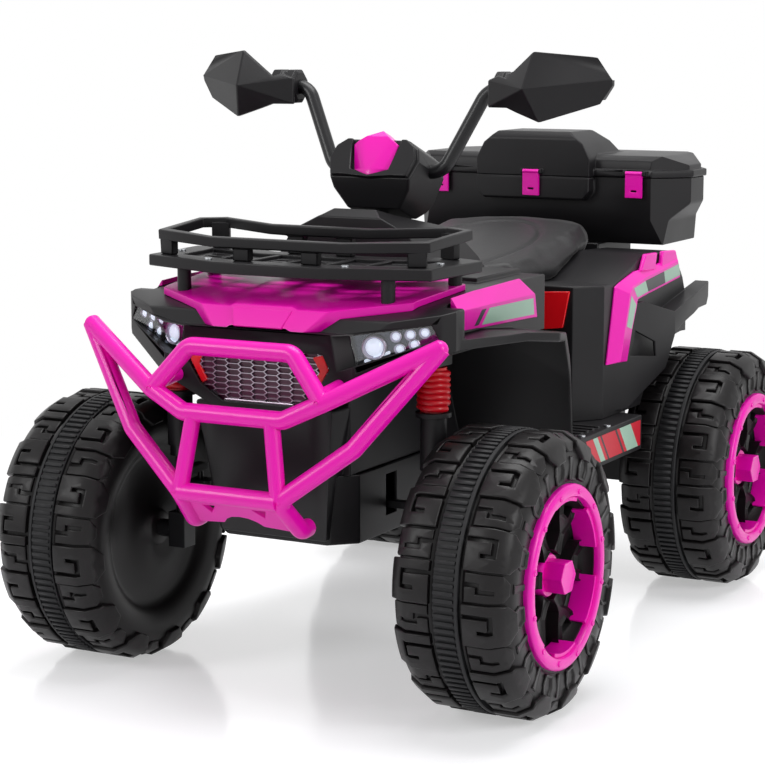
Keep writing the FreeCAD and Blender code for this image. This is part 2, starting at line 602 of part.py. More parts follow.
# Footboards and pedal
def make_footboards():
    edge = [("pan_half", "board_front"), ("board_out - board_chamfer", "board_front"),
            ("board_out", "board_front + board_chamfer"), ("board_out", "board_rear"),
            ("pan_half", "board_rear + 15")]
    room = [("pan_half - 1", "board_front + skin"), ("board_out - board_chamfer - 2", "board_front + skin"),
            ("board_out - skin", "board_front + board_chamfer + 2"),
            ("board_out - skin", "board_rear - skin"), ("pan_half - 1", "board_rear + 11")]
    tray = prism("board_hull", "XY", "board_low", "board_top", edge)
    shell = cut("board_shell", tray, prism("board_room", "XY", "board_low - 1", "board_top - skin", room))
    ribs = []
    for step in range(6):
        start = f"(board_front + 35 + {step} * rib_pitch)"
        ribs.append(block(f"board_rib_{step}", ("pan_half + 12", "board_out - 12"),
                          (start, f"{start} + rib_width"), ("board_top - 1", "board_top + rib_rise")))
    keep("left_footboard", fuse("left_board_form", shell, *ribs))

    end = "(board_front + pedal_pivot)"
    post = block("pedal_post_in", ("pedal_x + pedal_half + fit_gap", "pedal_x + pedal_half + 7"),
                 (f"{end} - 6", f"{end} + 6"), ("board_top - 1", "board_top + 13"))
    other = block("pedal_post_out", ("pedal_x - pedal_half - 7", "pedal_x - pedal_half - fit_gap"),
                  (f"{end} - 6", f"{end} + 6"), ("board_top - 1", "board_top + 13"))
    pin = rod("pedal_pin_rod", "X", "pedal_pin", ("pedal_x - pedal_half - 6", end, "board_top + 7"),
              "2 * pedal_half + 12")
    keep("right_footboard", fuse("right_board_form", mirror("right_board_plain", shell), post, other, pin))

    tread = prism("pedal_tread", "YZ", "pedal_x - pedal_half", "pedal_x + pedal_half",
                  [(f"{end} - 98", "board_top + 22"), (end, "board_top + 1.5"),
                   (f"{end} + 6", "board_top + 7"), (end, "board_top + 12.5"),
                   (f"{end} - 96", "board_top + 31")])
    hole = rod("pedal_bore", "X", "pedal_pin + run_gap", ("pedal_x - pedal_half - 1", end, "board_top + 7"),
               "2 * pedal_half + 2")
    keep("foot_pedal", cut("pedal_form", tread, hole))


# Front body: nose, deck, core, flares and lower fascia
def hood_top():
    """The hood's upper section line, from its lip to the console."""
    return [("nose_front + 3", "deck_top - lip_drop"), ("nose_front + 18", "deck_top - brow_drop"),
            ("nose_front + 80", "deck_top - 4"), ("hood_rear", "deck_top + 8")]


def hood_under(deeper="0"):
    """The line right under the hood, where the nose and deck begin."""
    return [("nose_front + 13", f"deck_top - lip_drop - {deeper}"),
            ("nose_front + 26", f"deck_top - brow_drop - hood_thick - {deeper}"),
            ("nose_front + 83", f"deck_top - 4 - hood_thick - {deeper}"),
            ("hood_rear", f"deck_top - {deeper}")]


def make_nose(name, wall):
    """The faceted nose, or its hollow when a wall is given."""
    plan = symmetric([(f"nose_half - {wall} / 2", f"nose_front + {wall}"),
                      (f"nose_side_x - {wall}", f"nose_side_y + {wall}"),
                      (f"nose_wing - {wall}", "nose_side_y + 16"),
                      (f"nose_wing - {wall}", f"nose_rear - {wall}")])
    face = symmetric([("king_x - 132", f"nose_low + {wall}"), ("king_x - 78", f"nose_low + 26 + {wall}"),
                      ("king_x - 38", f"nose_low + 44 + {wall} * 1.2"),
                      (f"nose_wing - {wall}", f"nose_low + 84 + {wall}"),
                      (f"nose_wing - {wall}", "deck_top + 10")])
    top = hood_under(wall)
    side = [(f"nose_front + {wall}", f"nose_low + {wall}"),
            (f"nose_front + {wall}", f"deck_top - lip_drop - {wall}"), *top[:3],
            (f"nose_rear - {wall}", f"deck_top - 4 - hood_thick - {wall}"),
            (f"nose_rear - {wall}", f"nose_low + {wall}")]
    return common(name, prism(f"{name}_plan", "XY", "nose_low - 12", "deck_top + 20", plan),
                  prism(f"{name}_face", "XZ", "nose_front - 20", "nose_rear + 10", face),
                  prism(f"{name}_side", "YZ", "-nose_wing - 10", "nose_wing + 10", side))


def make_deck(name, wall, low):
    top = hood_under(wall)[2:]
    side = [("nose_side_y + 4", low),
            ("nose_side_y + 4", f"deck_top - brow_drop - hood_thick + 3 - {wall}"), *top,
            (f"deck_rear - {wall}", f"deck_top - {wall}"), (f"deck_rear - {wall}", low)]
    return prism(name, "YZ", f"{wall} - deck_half", f"deck_half - {wall}", side)


def make_flare():
    """A fender over a front wheel that runs down to the footboard."""
    outer = "(front_track / 2 + flare_out)"
    plan = [("deck_half - 3", "nose_side_y + 2"), ("nose_side_x + 2", "nose_side_y + 2"),
            (f"{outer} - 32", "front_y + 56"), (outer, "flare_rear - 127"),
            (f"{outer} - 14", "flare_rear - 64"), ("board_out", "flare_rear"),
            ("core_half - 3", "flare_rear"), ("core_half - 3", "flare_rear - 89"),
            ("deck_half - 3", "flare_rear - 89")]
    upper = [("nose_side_y", "flare_top"), ("front_y + 86", "flare_top"),
             ("flare_rear - 89", "flare_top - 10"), ("flare_rear - 44", "flare_top - 68"),
             ("flare_rear - 2", "board_top")]
    lower = [("flare_rear - 16", "board_top"), ("flare_rear - 55", "flare_top - 68 - flare_thick"),
             ("flare_rear - 96", "flare_top - 10 - flare_thick"),
             ("front_y + 86", "flare_top - flare_thick"), ("nose_side_y", "flare_top - flare_thick")]
    return common("flare_form", prism("flare_plan", "XY", "board_low", "deck_top", plan),
                  prism("flare_band", "YZ", "core_half - 10", f"{outer} + 10", upper + lower))


def lens_outline():
    return [("nose_half + 4", "deck_low - 13"), ("nose_side_x - 2", "deck_low + 26"),
            ("nose_side_x - 11", "deck_low + 45"), ("nose_half - 4", "deck_low + 31")]


def lamp_piece(name, outside, inside):
    """A slab of the headlight's outline, parallel to the nose's angled face between two depths."""
    lean = "atan2(nose_side_back; nose_side_x - nose_half)"
    run = f"40 * tan({lean})"
    ends = [("nose_half - 40", f"nose_front - {run}"), ("nose_side_x + 40", f"nose_side_y + {run}")]
    near = [(x, f"{y} + ({outside}) / cos({lean})") for x, y in ends]
    far = [(x, f"{y} + ({inside}) / cos({lean})") for x, y in reversed(ends)]
    slab = prism(f"{name}_slab", "XY", "deck_low - 45", "deck_top + 10", near + far)
    return common(name, slab,
                  prism(f"{name}_face", "XZ", "nose_front - 60", "nose_rear + 20", lens_outline()))


def grille_outline(grow="0"):
    return symmetric([(f"50 + {grow}", f"deck_low - 61 - {grow}"),
                      (f"84 + {grow}", f"deck_low - 41 - {grow}"), (f"104 + {grow}", "deck_low - 11"),
                      (f"94 + {grow}", f"deck_low + 7 + {grow}")])


def make_front_body():
    core = block("core_solid", ("-core_half", "core_half"), ("nose_side_y", "deck_rear"),
                 ("pan_top", "deck_low + 1"))
    core_room = block("core_room", ("skin - core_half", "core_half - skin"),
                      ("nose_side_y + skin", "deck_rear - skin"), ("pan_top - 1", "deck_low + 2"))
    back = "(pan_front - fit_gap)"
    low = "(pan_low + fascia_low)"
    fascia_side = [("nose_front + 14", "nose_low + 8"), ("nose_side_y + 10", "nose_low + 8"),
                   ("nose_side_y + 10", "pan_top"), (back, "pan_top"), (back, low), (f"{back} - 11", low)]
    fascia_front = symmetric([("fascia_half", low), ("core_half", "nose_low + 8")])
    fascia = common("fascia_solid",
                    prism("fascia_side", "YZ", "-core_half - 20", "core_half + 20", fascia_side),
                    prism("fascia_front", "XZ", "nose_front", "nose_rear", fascia_front))
    rib = block("deck_rib", ("core_half + 30", "deck_half - 32"), ("hood_rear + 17", "deck_rear - 10"),
                ("deck_top - 1", "deck_top + 7"))
    solid = fuse("front_solid", make_nose("nose_solid", "0"), make_deck("deck_solid", "0", "deck_low"),
                 core, fascia, both("flares", make_flare()), both("deck_ribs", rib))

    window = prism("grille_window", "XZ", "nose_front - 10", "nose_front + 10", grille_outline())
    lamp = lamp_piece("lamp_hole", "-20", "lens_depth")
    column_hole = rod("deck_column_hole", "Z", "column_radius + column_clear", ("0", "0", "0"), "120")
    gap = "fit_gap"
    deep = (f"front_y - tower_half - {gap}", f"front_y + tower_half + {gap}")
    beam_slot = block("beam_slot", (f"-king_x - tower_end - {gap}", f"king_x + tower_end + {gap}"), deep,
                      (f"tower_low - {gap}", f"tower_top + {gap}"))
    post_slot = block("post_slot", (f"-post_half - {gap}", f"post_half + {gap}"), deep,
                      ("pan_low", "tower_top"))
    keep("front_body", cut("front_shell", solid, make_nose("nose_room", "skin"),
                           make_deck("deck_room", "skin", "deck_low - 1"), core_room, window,
                           both("lamp_holes", lamp), head_frame(column_hole, "-190"), beam_slot, post_slot))

    hood_plan = symmetric([("lip_half", "nose_front + 3"), ("hood_half - 8", "nose_front + 70"),
                           ("hood_half", "hood_rear - 38"), ("hood_half - 42", "hood_rear")])
    keep("hood_panel", common("hood_form",
                              prism("hood_plan", "XY", "deck_top - 50", "deck_top + 20", hood_plan),
                              prism("hood_side", "YZ", "-hood_half - 8", "hood_half + 8",
                                    hood_top() + list(reversed(hood_under())))))
    keep("front_grille", prism("grille_form", "XZ", "nose_front + skin", "nose_front + skin + grille_depth",
                               grille_outline("3")))
    pair("headlight_lens", lamp_piece("lens_form", "-1.5", "lens_depth / 2"))
    twins("headlight_reflectors", lamp_piece("bowl_form", "lens_depth / 2", "lens_depth"))

    outline = [("front_y + 6", "flare_top"), ("front_y - 2", "deck_top - 4"),
               ("front_y + 204", "deck_top + 2"), ("front_y + 229", "deck_top - 25"),
               ("front_y + 256", "flare_top - 10"), ("front_y + 86", "flare_top")]
    section = [("deck_half", "flare_top - 20"), ("deck_half + fender_proud", "flare_top - 20"),
               ("deck_half + fender_proud", "deck_top - 27"), ("deck_half", "deck_top + 4")]
    pair("fender_panel", common("fender_form",
                                prism("fender_side", "YZ", "deck_half - 1", "deck_half + 20", outline),
                                prism("fender_section", "XZ", "front_y - 10", "front_y + 270", section)))
    return solid


# Bull bar and rack
def bar_spot(corner):
    return vec(f"{corner}_out", f"front_y - {corner}_fore", f"deck_low + {corner}_rise")


def skid_plate():
    """The plate between the toes and feet, arched below and with two cut-outs."""
    toe, foot = bar_spot("toe"), bar_spot("foot")
    middle = Vector(0, toe.y, toe.z)
    down = Vector(0, foot.y - toe.y, foot.z - toe.z)
    across = Vector(1, 0, 0)

    def spot(x, share):
        return middle + across * x + down * share

    low, wide = spot(foot.x - 26, 1), spot(26 - foot.x, 1)
    arch = Part.Arc(low, spot(0, 0.62), wide).toShape()
    rim = Part.makePolygon([wide, spot(-foot.x, 1), spot(-toe.x, 0), spot(toe.x, 0), spot(foot.x, 1), low])
    plate = Part.Face(Part.Wire([*rim.Edges, arch]))
    for side in (-1, 1):
        hole = [spot(side * x, share) for x, share in ((26, 0.3), (48, 0.3), (42, 0.62), (26, 0.3))]
        plate = plate.cut(Part.Face(Part.makePolygon(hole)))
    return plate.extrude(across.cross(down).normalize() * num("plate_thick"))


def make_bull_bar(nose):
    radius, bend = num("bar_radius"), num("bar_bend")
    tip, elbow, sill, hoop, knee, toe, foot, heel = (
        bar_spot(corner) for corner in ("tip", "elbow", "sill", "hoop", "knee", "toe", "foot", "heel"))
    tubes = [
        bent_tube([tip, elbow, sill, flip(sill), flip(elbow), flip(tip)], radius, bend),
        bent_tube([elbow, hoop, flip(hoop), flip(elbow)], radius, bend),
        Part.makeCylinder(radius, 2 * toe.x, flip(toe), Vector(1, 0, 0)),
    ]
    for turn in (lambda spot: spot, flip):
        tubes.append(bent_tube([turn(spot) for spot in (tip, knee, toe, foot, heel)], radius, bend * 0.8))
        head = turn(Vector(sill.x * 0.78, sill.y, sill.z))
        tubes.append(bent_tube([head, turn(toe)], radius * 0.9, bend))
        stay = turn(elbow + Vector(-5, 2, 7))
        tubes.append(Part.makeCylinder(radius * 0.8, num("stay_length"), stay, Vector(0, 1, 0.12)))
    shape = tubes[0].multiFuse([*tubes[1:], skid_plate()])
    keep("bull_bar", cut("bull_bar_form", coded("bull_bar_raw", shape), nose))


def make_rack(nose):
    front, rear = "front_y - tray_front", "front_y + tray_rear"
    half = [("tray_half - 139", front), ("tray_half - 8", f"{front} + 46"), ("tray_half", f"{rear} - 18"),
            ("tray_half - 44", rear), ("tray_half - 136", f"{rear} - 36")]
    inner = [("tray_half - 156", f"{front} + tray_rim - 6"),
             ("tray_half - tray_rim - 8", f"{front} + 46 + tray_rim / 2"),
             ("tray_half - tray_rim", f"{rear} - tray_rim"), ("tray_half - 132", f"{rear} - 30 - tray_rim")]
    tray = prism("tray_form", "XY", "tray_low", "tray_top", symmetric(half), symmetric(inner))
    legs = []
    for index, (x, y) in enumerate((("tray_half - 66", f"{front} + 42"),
                                    ("tray_half - 34", f"{rear} - 28"))):
        leg = rod(f"rack_leg_{index}", "Z", "leg_radius", (x, y, "deck_top - 12"), "tray_lift + 12")
        legs.append(both(f"rack_legs_{index}", leg))
    keep("rack_tray", cut("rack_form", fuse("rack_solid", tray, *legs), nodes["hood_panel"], nose))


def rail_outline(inset):
    """The rail's closed outline in plan, behind the tray's front edge."""
    rear = "(tray_front + tray_rear)"
    return symmetric([("tray_half - 121", f"9 + {inset}"), (f"tray_half - 6 - {inset}", f"48 + {inset}"),
                      (f"tray_half - {inset}", f"{rear} - 18 - {inset} * 0.7"),
                      (f"tray_half - 44 - {inset} * 0.3", f"{rear} - {inset}"),
                      (f"tray_half - 139 - {inset} * 0.2", f"{rear} - 38 - {inset}")])


def rail_post(index, x, y, run, rise):
    """A flat post under the rail, its width along a direction in plan."""
    long = math.hypot(run, rise)
    along = (run / long, rise / long)
    corners = []
    for ahead, aside in ((-1, -1), (1, -1), (1, 1), (-1, 1)):
        corners.append((f"{x} + {ahead * along[0]} * post_width / 2 - {aside * along[1]} * rail_width / 2",
                        f"front_y - tray_front + {y} + {ahead * along[1]} * post_width / 2"
                        f" + {aside * along[0]} * rail_width / 2"))
    top = f"rail_low + rail_height / 2 + ({y}) * tan(rail_tilt)"
    return both(f"rail_posts_{index}", prism(f"rail_post_{index}", "XY", "tray_top", top, corners))


def make_rail():
    """A flat bar bent into a ring that rises to the rear, on flat posts."""
    ring = prism("rail_ring", "XY", "0", "rail_height", rail_outline("rail_inset"),
                 rail_outline("(rail_inset + rail_width)"))
    tilted = group("rail_tilted", ring)
    tilted.Placement = Placement(Vector(), Rotation(Vector(1, 0, 0), num("rail_tilt")))
    place(tilted, "0", "front_y - tray_front", "rail_low")
    middle = "(rail_inset + rail_width / 2)"
    depth = "(tray_front + tray_rear)"
    posts = [("tray_half - 166", f"9 + {middle}", 1, 0),
             (f"tray_half - 18 - {middle}", f"42 + {middle}", 6, 2),
             (f"tray_half - 28 - {middle}", f"{depth} - 8 - {middle}", -3, 1),
             ("tray_half - 180", f"{depth} - 38 - {middle}", 1, 0)]
    keep("rack_rail", fuse("rail_form", tilted,
                           *(rail_post(index, *post) for index, post in enumerate(posts))))


# Console, steering head and handlebar
def console_piece(name, wall, floor):
    """The console's hull, or its hollow when a wall is given."""
    face = symmetric([(f"core_half + 18 - {wall}", floor),
                      (f"core_half + 12 - {wall}", f"deck_top + 20 - {wall} / 4"),
                      (f"core_half - 11 - {wall}", f"deck_top + 60 - {wall} * 0.8"),
                      (f"44 - {wall} / 2", f"deck_top + 82 - {wall}"),
                      (f"29 - {wall} / 4", f"deck_top + 92 - {wall}")])
    side = [(f"hood_rear + {wall}", floor), (f"hood_rear + {wall}", f"deck_top + 80 - {wall} / 2"),
            ("hood_rear + 17", f"deck_top + 90 - {wall}"), ("hood_rear + 47", f"deck_top + 81 - {wall}"),
            (f"dash_foot - dash_run - {wall} / 2", f"deck_top + 4 + dash_fall - {wall}"),
            (f"dash_foot - {wall} * 1.2", f"deck_top + 4 - {wall} / 2"),
            (f"dash_foot - {wall} * 1.2", floor)]
    return common(name, prism(f"{name}_face", "XZ", "hood_rear - 40", "deck_rear + 40", face),
                  prism(f"{name}_side", "YZ", "-core_half - 30", "core_half + 30", side))


def dash_frame(item, x, up):
    """Stands an object on the console's sloping rear face."""
    item.Placement = Placement(Vector(), Rotation(Vector(1, 0, 0), -num("dash_lean")))
    return place(item, x, f"dash_y + ({up}) * sin(dash_lean)", f"dash_z + ({up}) * cos(dash_lean)")


def rocker_shape(name, grow):
    """A rocker switch round its own pivot, which lies along X."""
    half = f"(rocker_half + {grow})"
    pivot = rod(f"{name}_pivot", "X", f"7 + {grow}", (minus(half), "0", "0"), f"2 * {half}")
    paddle = block(f"{name}_paddle", (minus(half), half), (f"-9 - {grow}", f"9 + {grow}"),
                   (f"-1 - {grow}", f"5 + {grow}"))
    return fuse(f"{name}_solid", pivot, paddle)


def make_console():
    button_hole = rod("power_hole", "Z", "button_radius + fit_gap", ("0", "0", "0"), "40")
    rocker_hole = rocker_shape("rocker_room", "2")
    column_hole = rod("console_column_hole", "Z", "column_radius + column_clear", ("0", "0", "0"), "150")
    shell = cut("console_shell", console_piece("console_hull", "0", "deck_top"),
                console_piece("console_room", "skin", "deck_top - 1"), head_frame(column_hole, "-150"),
                dash_frame(button_hole, "-button_x", "-20"),
                dash_frame(group("rocker_hole", rocker_hole), "button_x", "0"))
    pin = rod("rocker_pin_rod", "X", "rocker_pin", ("-rocker_half - 5", "0", "0"), "2 * rocker_half + 10")
    keep("console_cover",
         fuse("console_form", shell, dash_frame(group("rocker_axle", pin), "button_x", "0")))
    button = rod("power_form", "Z", "button_radius", ("0", "0", "0"), "button_length")
    keep("power_button", dash_frame(button, "-button_x", "4 - button_length"))
    bore = rod("rocker_bore", "X", "rocker_pin + run_gap", ("-rocker_half - 1", "0", "0"),
               "2 * rocker_half + 2")
    rocker = cut("rocker_bored", rocker_shape("rocker", "0"), bore)
    keep("direction_switch", dash_frame(group("rocker_form", rocker), "button_x", "0"))


def make_handlebar():
    half = [vec("bar_end", "bar_top_y", "bar_top_z"), vec("bar_knee_x", "bar_top_y", "bar_top_z"),
            vec("bar_foot_x", "head_y", "head_z + 6")]
    path = half + [flip(spot) for spot in reversed(half)]
    radius, bend = num("tube_radius"), num("tube_bend")
    solid = bent_tube(path, radius, bend)
    bore = bent_tube(path, radius - num("tube_wall"), bend)
    keep("handlebar", coded("handlebar", solid.cut(bore)))

    low = "((pitman_z - head_z) / cos(rake))"
    shaft = head_frame(rod("column_shaft", "Z", "column_radius", ("0", "0", "0"),
                           f"-{low} - tube_radius - 2"), low)
    pitman = prism("pitman_plate", "XY", "-5", "5", symmetric([("14", "-12"), ("10", "pitman_length + 9")]))
    pin = rod("pitman_pin", "Z", "pin_radius", ("0", "pitman_length", "-30"), "32")
    arm = head_frame(group("pitman_arm", fuse("pitman_form", pitman, pin)), low)
    keep("steering_column", fuse("column_form", shaft, arm))

    grip = cut("grip_form", rod("grip_solid", "X", "grip_radius", ("grip_in", "bar_top_y", "bar_top_z"),
                                "bar_end - grip_in"),
               rod("grip_bore", "X", "tube_radius", ("grip_in - 1", "bar_top_y", "bar_top_z"),
                   "bar_end - grip_in + 2"))
    twins("hand_grips", grip)


def make_head():
    """The padded cover round the bar's middle, its cap and the horn button."""
    face = symmetric([("40", "-55"), ("58", "-32"), ("68", "6"), ("62", "26"), ("44", "38")])
    side = [("-28", "-55"), ("-52", "-20"), ("-40", "38"), ("36", "38"), ("36", "-40"), ("24", "-55")]
    hull = common("head_hull", prism("head_face", "XZ", "-60", "40", face),
                  prism("head_side", "YZ", "-80", "80", side))
    shaft = rod("head_shaft_hole", "Z", "column_radius", ("0", "0", "-60"), "60 - tube_radius")
    recess = rod("horn_recess", "Y", "button_radius + fit_gap", ("36", "27", "14"), "20")
    raked = head_frame(group("head_block", cut("head_raw", hull, shaft, recess)))
    tube = coded("head_tube", Part.makeCylinder(num("tube_radius"), num("4 * bar_foot_x"),
                                                vec("-2 * bar_foot_x", "head_y", "head_z + 6"),
                                                Vector(1, 0, 0)))
    keep("headstock_cover", cut("head_form", raked, nodes["handlebar"], tube))

    half = [("0", "-18"), ("26", "-8"), ("34", "28"), ("0", "52")]
    cap_face = half + [(minus(across), up) for across, up in reversed(half[1:-1])]
    cap_side = [("-40", "-18"), ("-54", "-18"), ("-57", "-8"), ("-48", "40"), ("-34", "52"), ("-10", "52"),
                ("-10", "30")]
    cap_plan = symmetric([("36", "-9"), ("36", "-46"), ("1", "-58")])
    cap = common("cap_hull", prism("cap_face", "XZ", "-60", "0", cap_face),
                 prism("cap_side", "YZ", "-50", "50", cap_side),
                 prism("cap_plan", "XY", "-30", "60", cap_plan))
    keep("headstock_cap",
         cut("headstock_cap_form", head_frame(group("cap_raked", cap)), nodes["headstock_cover"]))
    horn = rod("horn_form", "Y", "button_radius", ("36", "30", "14"), "9")
    keep("horn_button", head_frame(group("horn_group", horn)))


def guard_solid(name, back):
    """The faceted hand guard's full form, moved back by a wall: facets round a peak, run straight back."""
    middle = vec("guard_out", f"bar_top_y + {back}", "bar_top_z")
    neck = [Vector(-140, -30, 18), Vector(-156, -26, 12), Vector(-156, -26, -24), Vector(-110, -36, -30)]
    top, brow, tip = Vector(-84, -40, 50), Vector(-7, 5, 42), Vector(15, 6, 14)
    peak, heel, chin = Vector(-88, -66, 2), Vector(-6, 1, -18), Vector(-75, -42, -42)
    rim = [top, *neck, chin]
    facets = [(peak, near, far) for near, far in zip(rim, rim[1:])]
    facets += [(peak, top, tip), (top, brow, tip), (peak, tip, chin), (tip, heel, chin)]
    solids = []
    for facet in facets:
        corners = [middle + spot for spot in (*facet, facet[0])]
        solids.append(Part.Face(Part.makePolygon(corners)).extrude(Vector(0, 90, 0)))
    return coded(name, solids[0].multiFuse(solids[1:]).removeSplitter())


def make_guards():
    x, y, z = "guard_out", "bar_top_y", "bar_top_z"
    outer = guard_solid("guard_outer", "0")
    back = block("guard_back", (f"{x} - 166", f"{x} + 24"), (f"{y} + 3", f"{y} + 105"),
                 (f"{z} - 68", f"{z} + 62"))
    grip_room = rod("guard_grip_room", "X", "grip_radius + 2", ("grip_in - 4", y, z),
                    "bar_end + fit_gap - grip_in + 4")
    skin = cut("guard_skin", outer, guard_solid("guard_inner", "guard_thick"), back, grip_room)
    clamp = rod("guard_clamp", "X", "clamp_radius", ("grip_in - 40", y, z), "26")
    bridge = block("guard_bridge", ("grip_in - 38", "grip_in - 16"), (f"{y} - 41", y),
                   (f"{z} - 9", f"{z} + 9"))
    end = block("guard_end", ("bar_end + fit_gap", f"{x} + 10"), (f"{y} - 20", f"{y} + 13"),
                (f"{z} - 13", f"{z} + 13"))
    inside = common("guard_inside", fuse("guard_stays", bridge, end), outer)
    tube = rod("guard_tube", "X", "tube_radius", (f"{x} - 156", y, z), f"bar_end + fit_gap + 156 - {x}")
    pair("hand_guard", cut("guard_form", fuse("guard_full", skin, clamp, inside), tube))


# Seat, rear body and its panels
def seat_plane(y):
    return f"(deck_low + seat_lift + (({y}) - rear_y + 281) * seat_slope)"


def saddle_piece(name, wall, floor):
    side = [(f"deck_rear + {wall}", floor), (f"deck_rear + {wall}", f"{seat_plane('deck_rear')} - {wall}"),
            (f"box_front + {wall}", f"{seat_plane('box_front')} - {wall}"),
            (f"box_front + {wall}", f"box_low - {wall}"), (f"saddle_rear - {wall}", f"box_low - {wall}"),
            (f"saddle_rear - {wall}", floor)]
    return prism(name, "YZ", f"{wall} - pan_half", f"pan_half - {wall}", side)


def tier_piece(name, wall):
    """The faceted side of the rear body above a footboard, or its hollow when a wall is given."""
    plan = [(f"tier_in + {wall}", f"tier_front + {wall}"),
            (f"tier_out - 30 - {wall}", f"tier_front + {wall}"),
            (f"tier_out - {wall}", f"tier_front + 42 + {wall} / 2"),
            (f"tier_out - {wall}", f"tier_rear - {wall}"), (f"tier_in + {wall}", f"tier_rear - {wall}")]
    foot = f"board_top - {wall}"
    side = [(f"tier_front + {wall}", foot), (f"tier_front + {wall}", f"deck_top - 31 - {wall}"),
            ("tier_front + 82", f"deck_top - 34 - {wall}"), ("tier_front + 187", f"deck_top - {wall}"),
            ("box_front", f"deck_top - 6 - {wall}"),
            (f"rear_y - 1 - {wall} / 2", f"deck_top - 50 - {wall} / 2"),
            (f"tier_rear - {wall}", "deck_top - 80"), (f"tier_rear - {wall}", foot)]
    return common(name, prism(f"{name}_plan", "XY", "board_low", "deck_top + 20", plan),
                  prism(f"{name}_side", "YZ", "tier_in - 28", "tier_out + 30", side))


def haunch_side(wall):
    """The haunch's outline from the side; its hollow is open below."""
    z = "rear_flare_z"
    upper = [("rear_y - 258", f"{z} + 40 - {wall}"), ("rear_y - 194", f"{z} + 41 - {wall}"),
             ("rear_y - 106", f"{z} + 18 - {wall}"), ("rear_y - 19", f"{z} + 33 - {wall}"),
             (f"rear_y + 66 - {wall}", f"{z} + 47 - 1.5 * {wall}")]
    if wall != "0":
        return [("rear_y - 258", "board_top - 10"), *upper, (f"rear_y + 66 - {wall}", "board_top - 10")]
    lower = [("rear_y + 66", f"{z} + 24"), ("rear_y + 54", f"{z} + 10"), ("rear_y + 9", f"{z} + 10"),
             ("rear_y - 70", f"{z} - 5"), ("rear_y - 104", f"{z} - 17"), ("rear_y - 124", f"{z} - 54"),
             ("rear_y - 130", f"{z} - 65"), ("rear_y - 236", "board_top + 5"),
             ("rear_y - 274", "board_top + 5")]
    return [*upper, *lower, ("rear_y - 274", f"{z} - 2")]


def haunch_piece(name, wall):
    """The flared side behind the footboard and over the rear wheel, or its hollow when a wall is given."""
    inner = "tier_out" if wall != "0" else "tier_out - skin"
    out = f"rear_flare_out - {wall}"
    plan = [(inner, f"rear_y - 274 + 7 * {wall}"), ("tier_out", f"rear_y - 274 + 7 * {wall}"),
            (out, f"rear_y - 106 + {wall} / 2"), (f"{out} - 2", "rear_y - 19"),
            (f"{out} - 10", f"rear_y + 66 - {wall}"), (inner, f"rear_y + 66 - {wall}")]
    if wall != "0":
        plan.pop(0)
    return common(name, prism(f"{name}_plan", "XY", "board_top - 30", "deck_top", plan),
                  prism(f"{name}_side", "YZ", "tier_out - 20", "rear_flare_out + 22", haunch_side(wall)))


def make_haunch():
    z = "rear_flare_z"
    window = [("rear_y - 217", z), ("rear_y - 231", f"{z} - 35"), ("rear_y - 158", f"{z} - 44"),
              ("rear_y - 162", f"{z} - 22")]
    return cut("haunch_form", haunch_piece("haunch_hull", "0"), haunch_piece("haunch_room", "skin"),
               prism("haunch_window", "YZ", "tier_out", "rear_flare_out + 10", window))


def make_rear_body():
    saddle = cut("saddle_form", saddle_piece("saddle_solid", "0", "pan_top"),
                 saddle_piece("saddle_room", "skin", "pan_top - 1"))
    bridge = block("tier_bridge", ("pan_half - 1", "tier_in + 6"), ("tier_front + 12", "box_front - 8"),
                   ("board_top", "deck_low - 5"))
    bridge_room = block("tier_bridge_room", ("pan_half", "tier_in + 10"),
                        ("tier_front + 16", "box_front - 12"), ("board_top - 1", "deck_low - 9"))
    arch = rod("rear_arch", "X", "tyre_radius + arch_gap",
               ("rear_track / 2 - tyre_half - 8", "rear_y", "tyre_radius"), "200")
    deck = block("rear_deck", ("pan_half - 1", "tier_out + 2"), ("tier_rear - skin", "rear_y + 64"),
                 ("rear_flare_z + 12", "rear_flare_z + 32"))
    side = cut("side_shell", fuse("side_solid", tier_piece("tier_hull", "0"), bridge),
               tier_piece("tier_room", "skin"), bridge_room, arch)
    left = fuse("rear_side", side, make_haunch(), deck)
    keep("rear_body", fuse("rear_body_form", saddle, both("rear_sides", left)))

    stripe = [("rear_y - 309", "deck_top - 147"), ("rear_y - 289", "deck_top - 152"),
              ("rear_y - 258", "deck_top - 68"), ("rear_y - 194", "deck_top - 66"),
              ("rear_y - 5", "deck_top - 50"), ("rear_y - 42", "deck_top - 8"),
              ("rear_y - 166", "deck_top - 3"), ("rear_y - 274", "deck_top - 36")]
    strip = prism("rear_strip", "YZ", "tier_out", "tier_out + strip_thick", stripe)
    pair("rear_panel", cut("rear_panel_form", strip, left))
    knee = [("tier_in + 4", "deck_top - 68"), ("tier_in + 24", "deck_top - 96"),
            ("tier_in + 68", "deck_top - 90"), ("tier_in + 78", "deck_top - 38"),
            ("tier_in + 8", "deck_top - 42")]
    twins("under_seat_panels", prism("knee_panel", "XZ", "tier_front - panel_thick", "tier_front", knee))


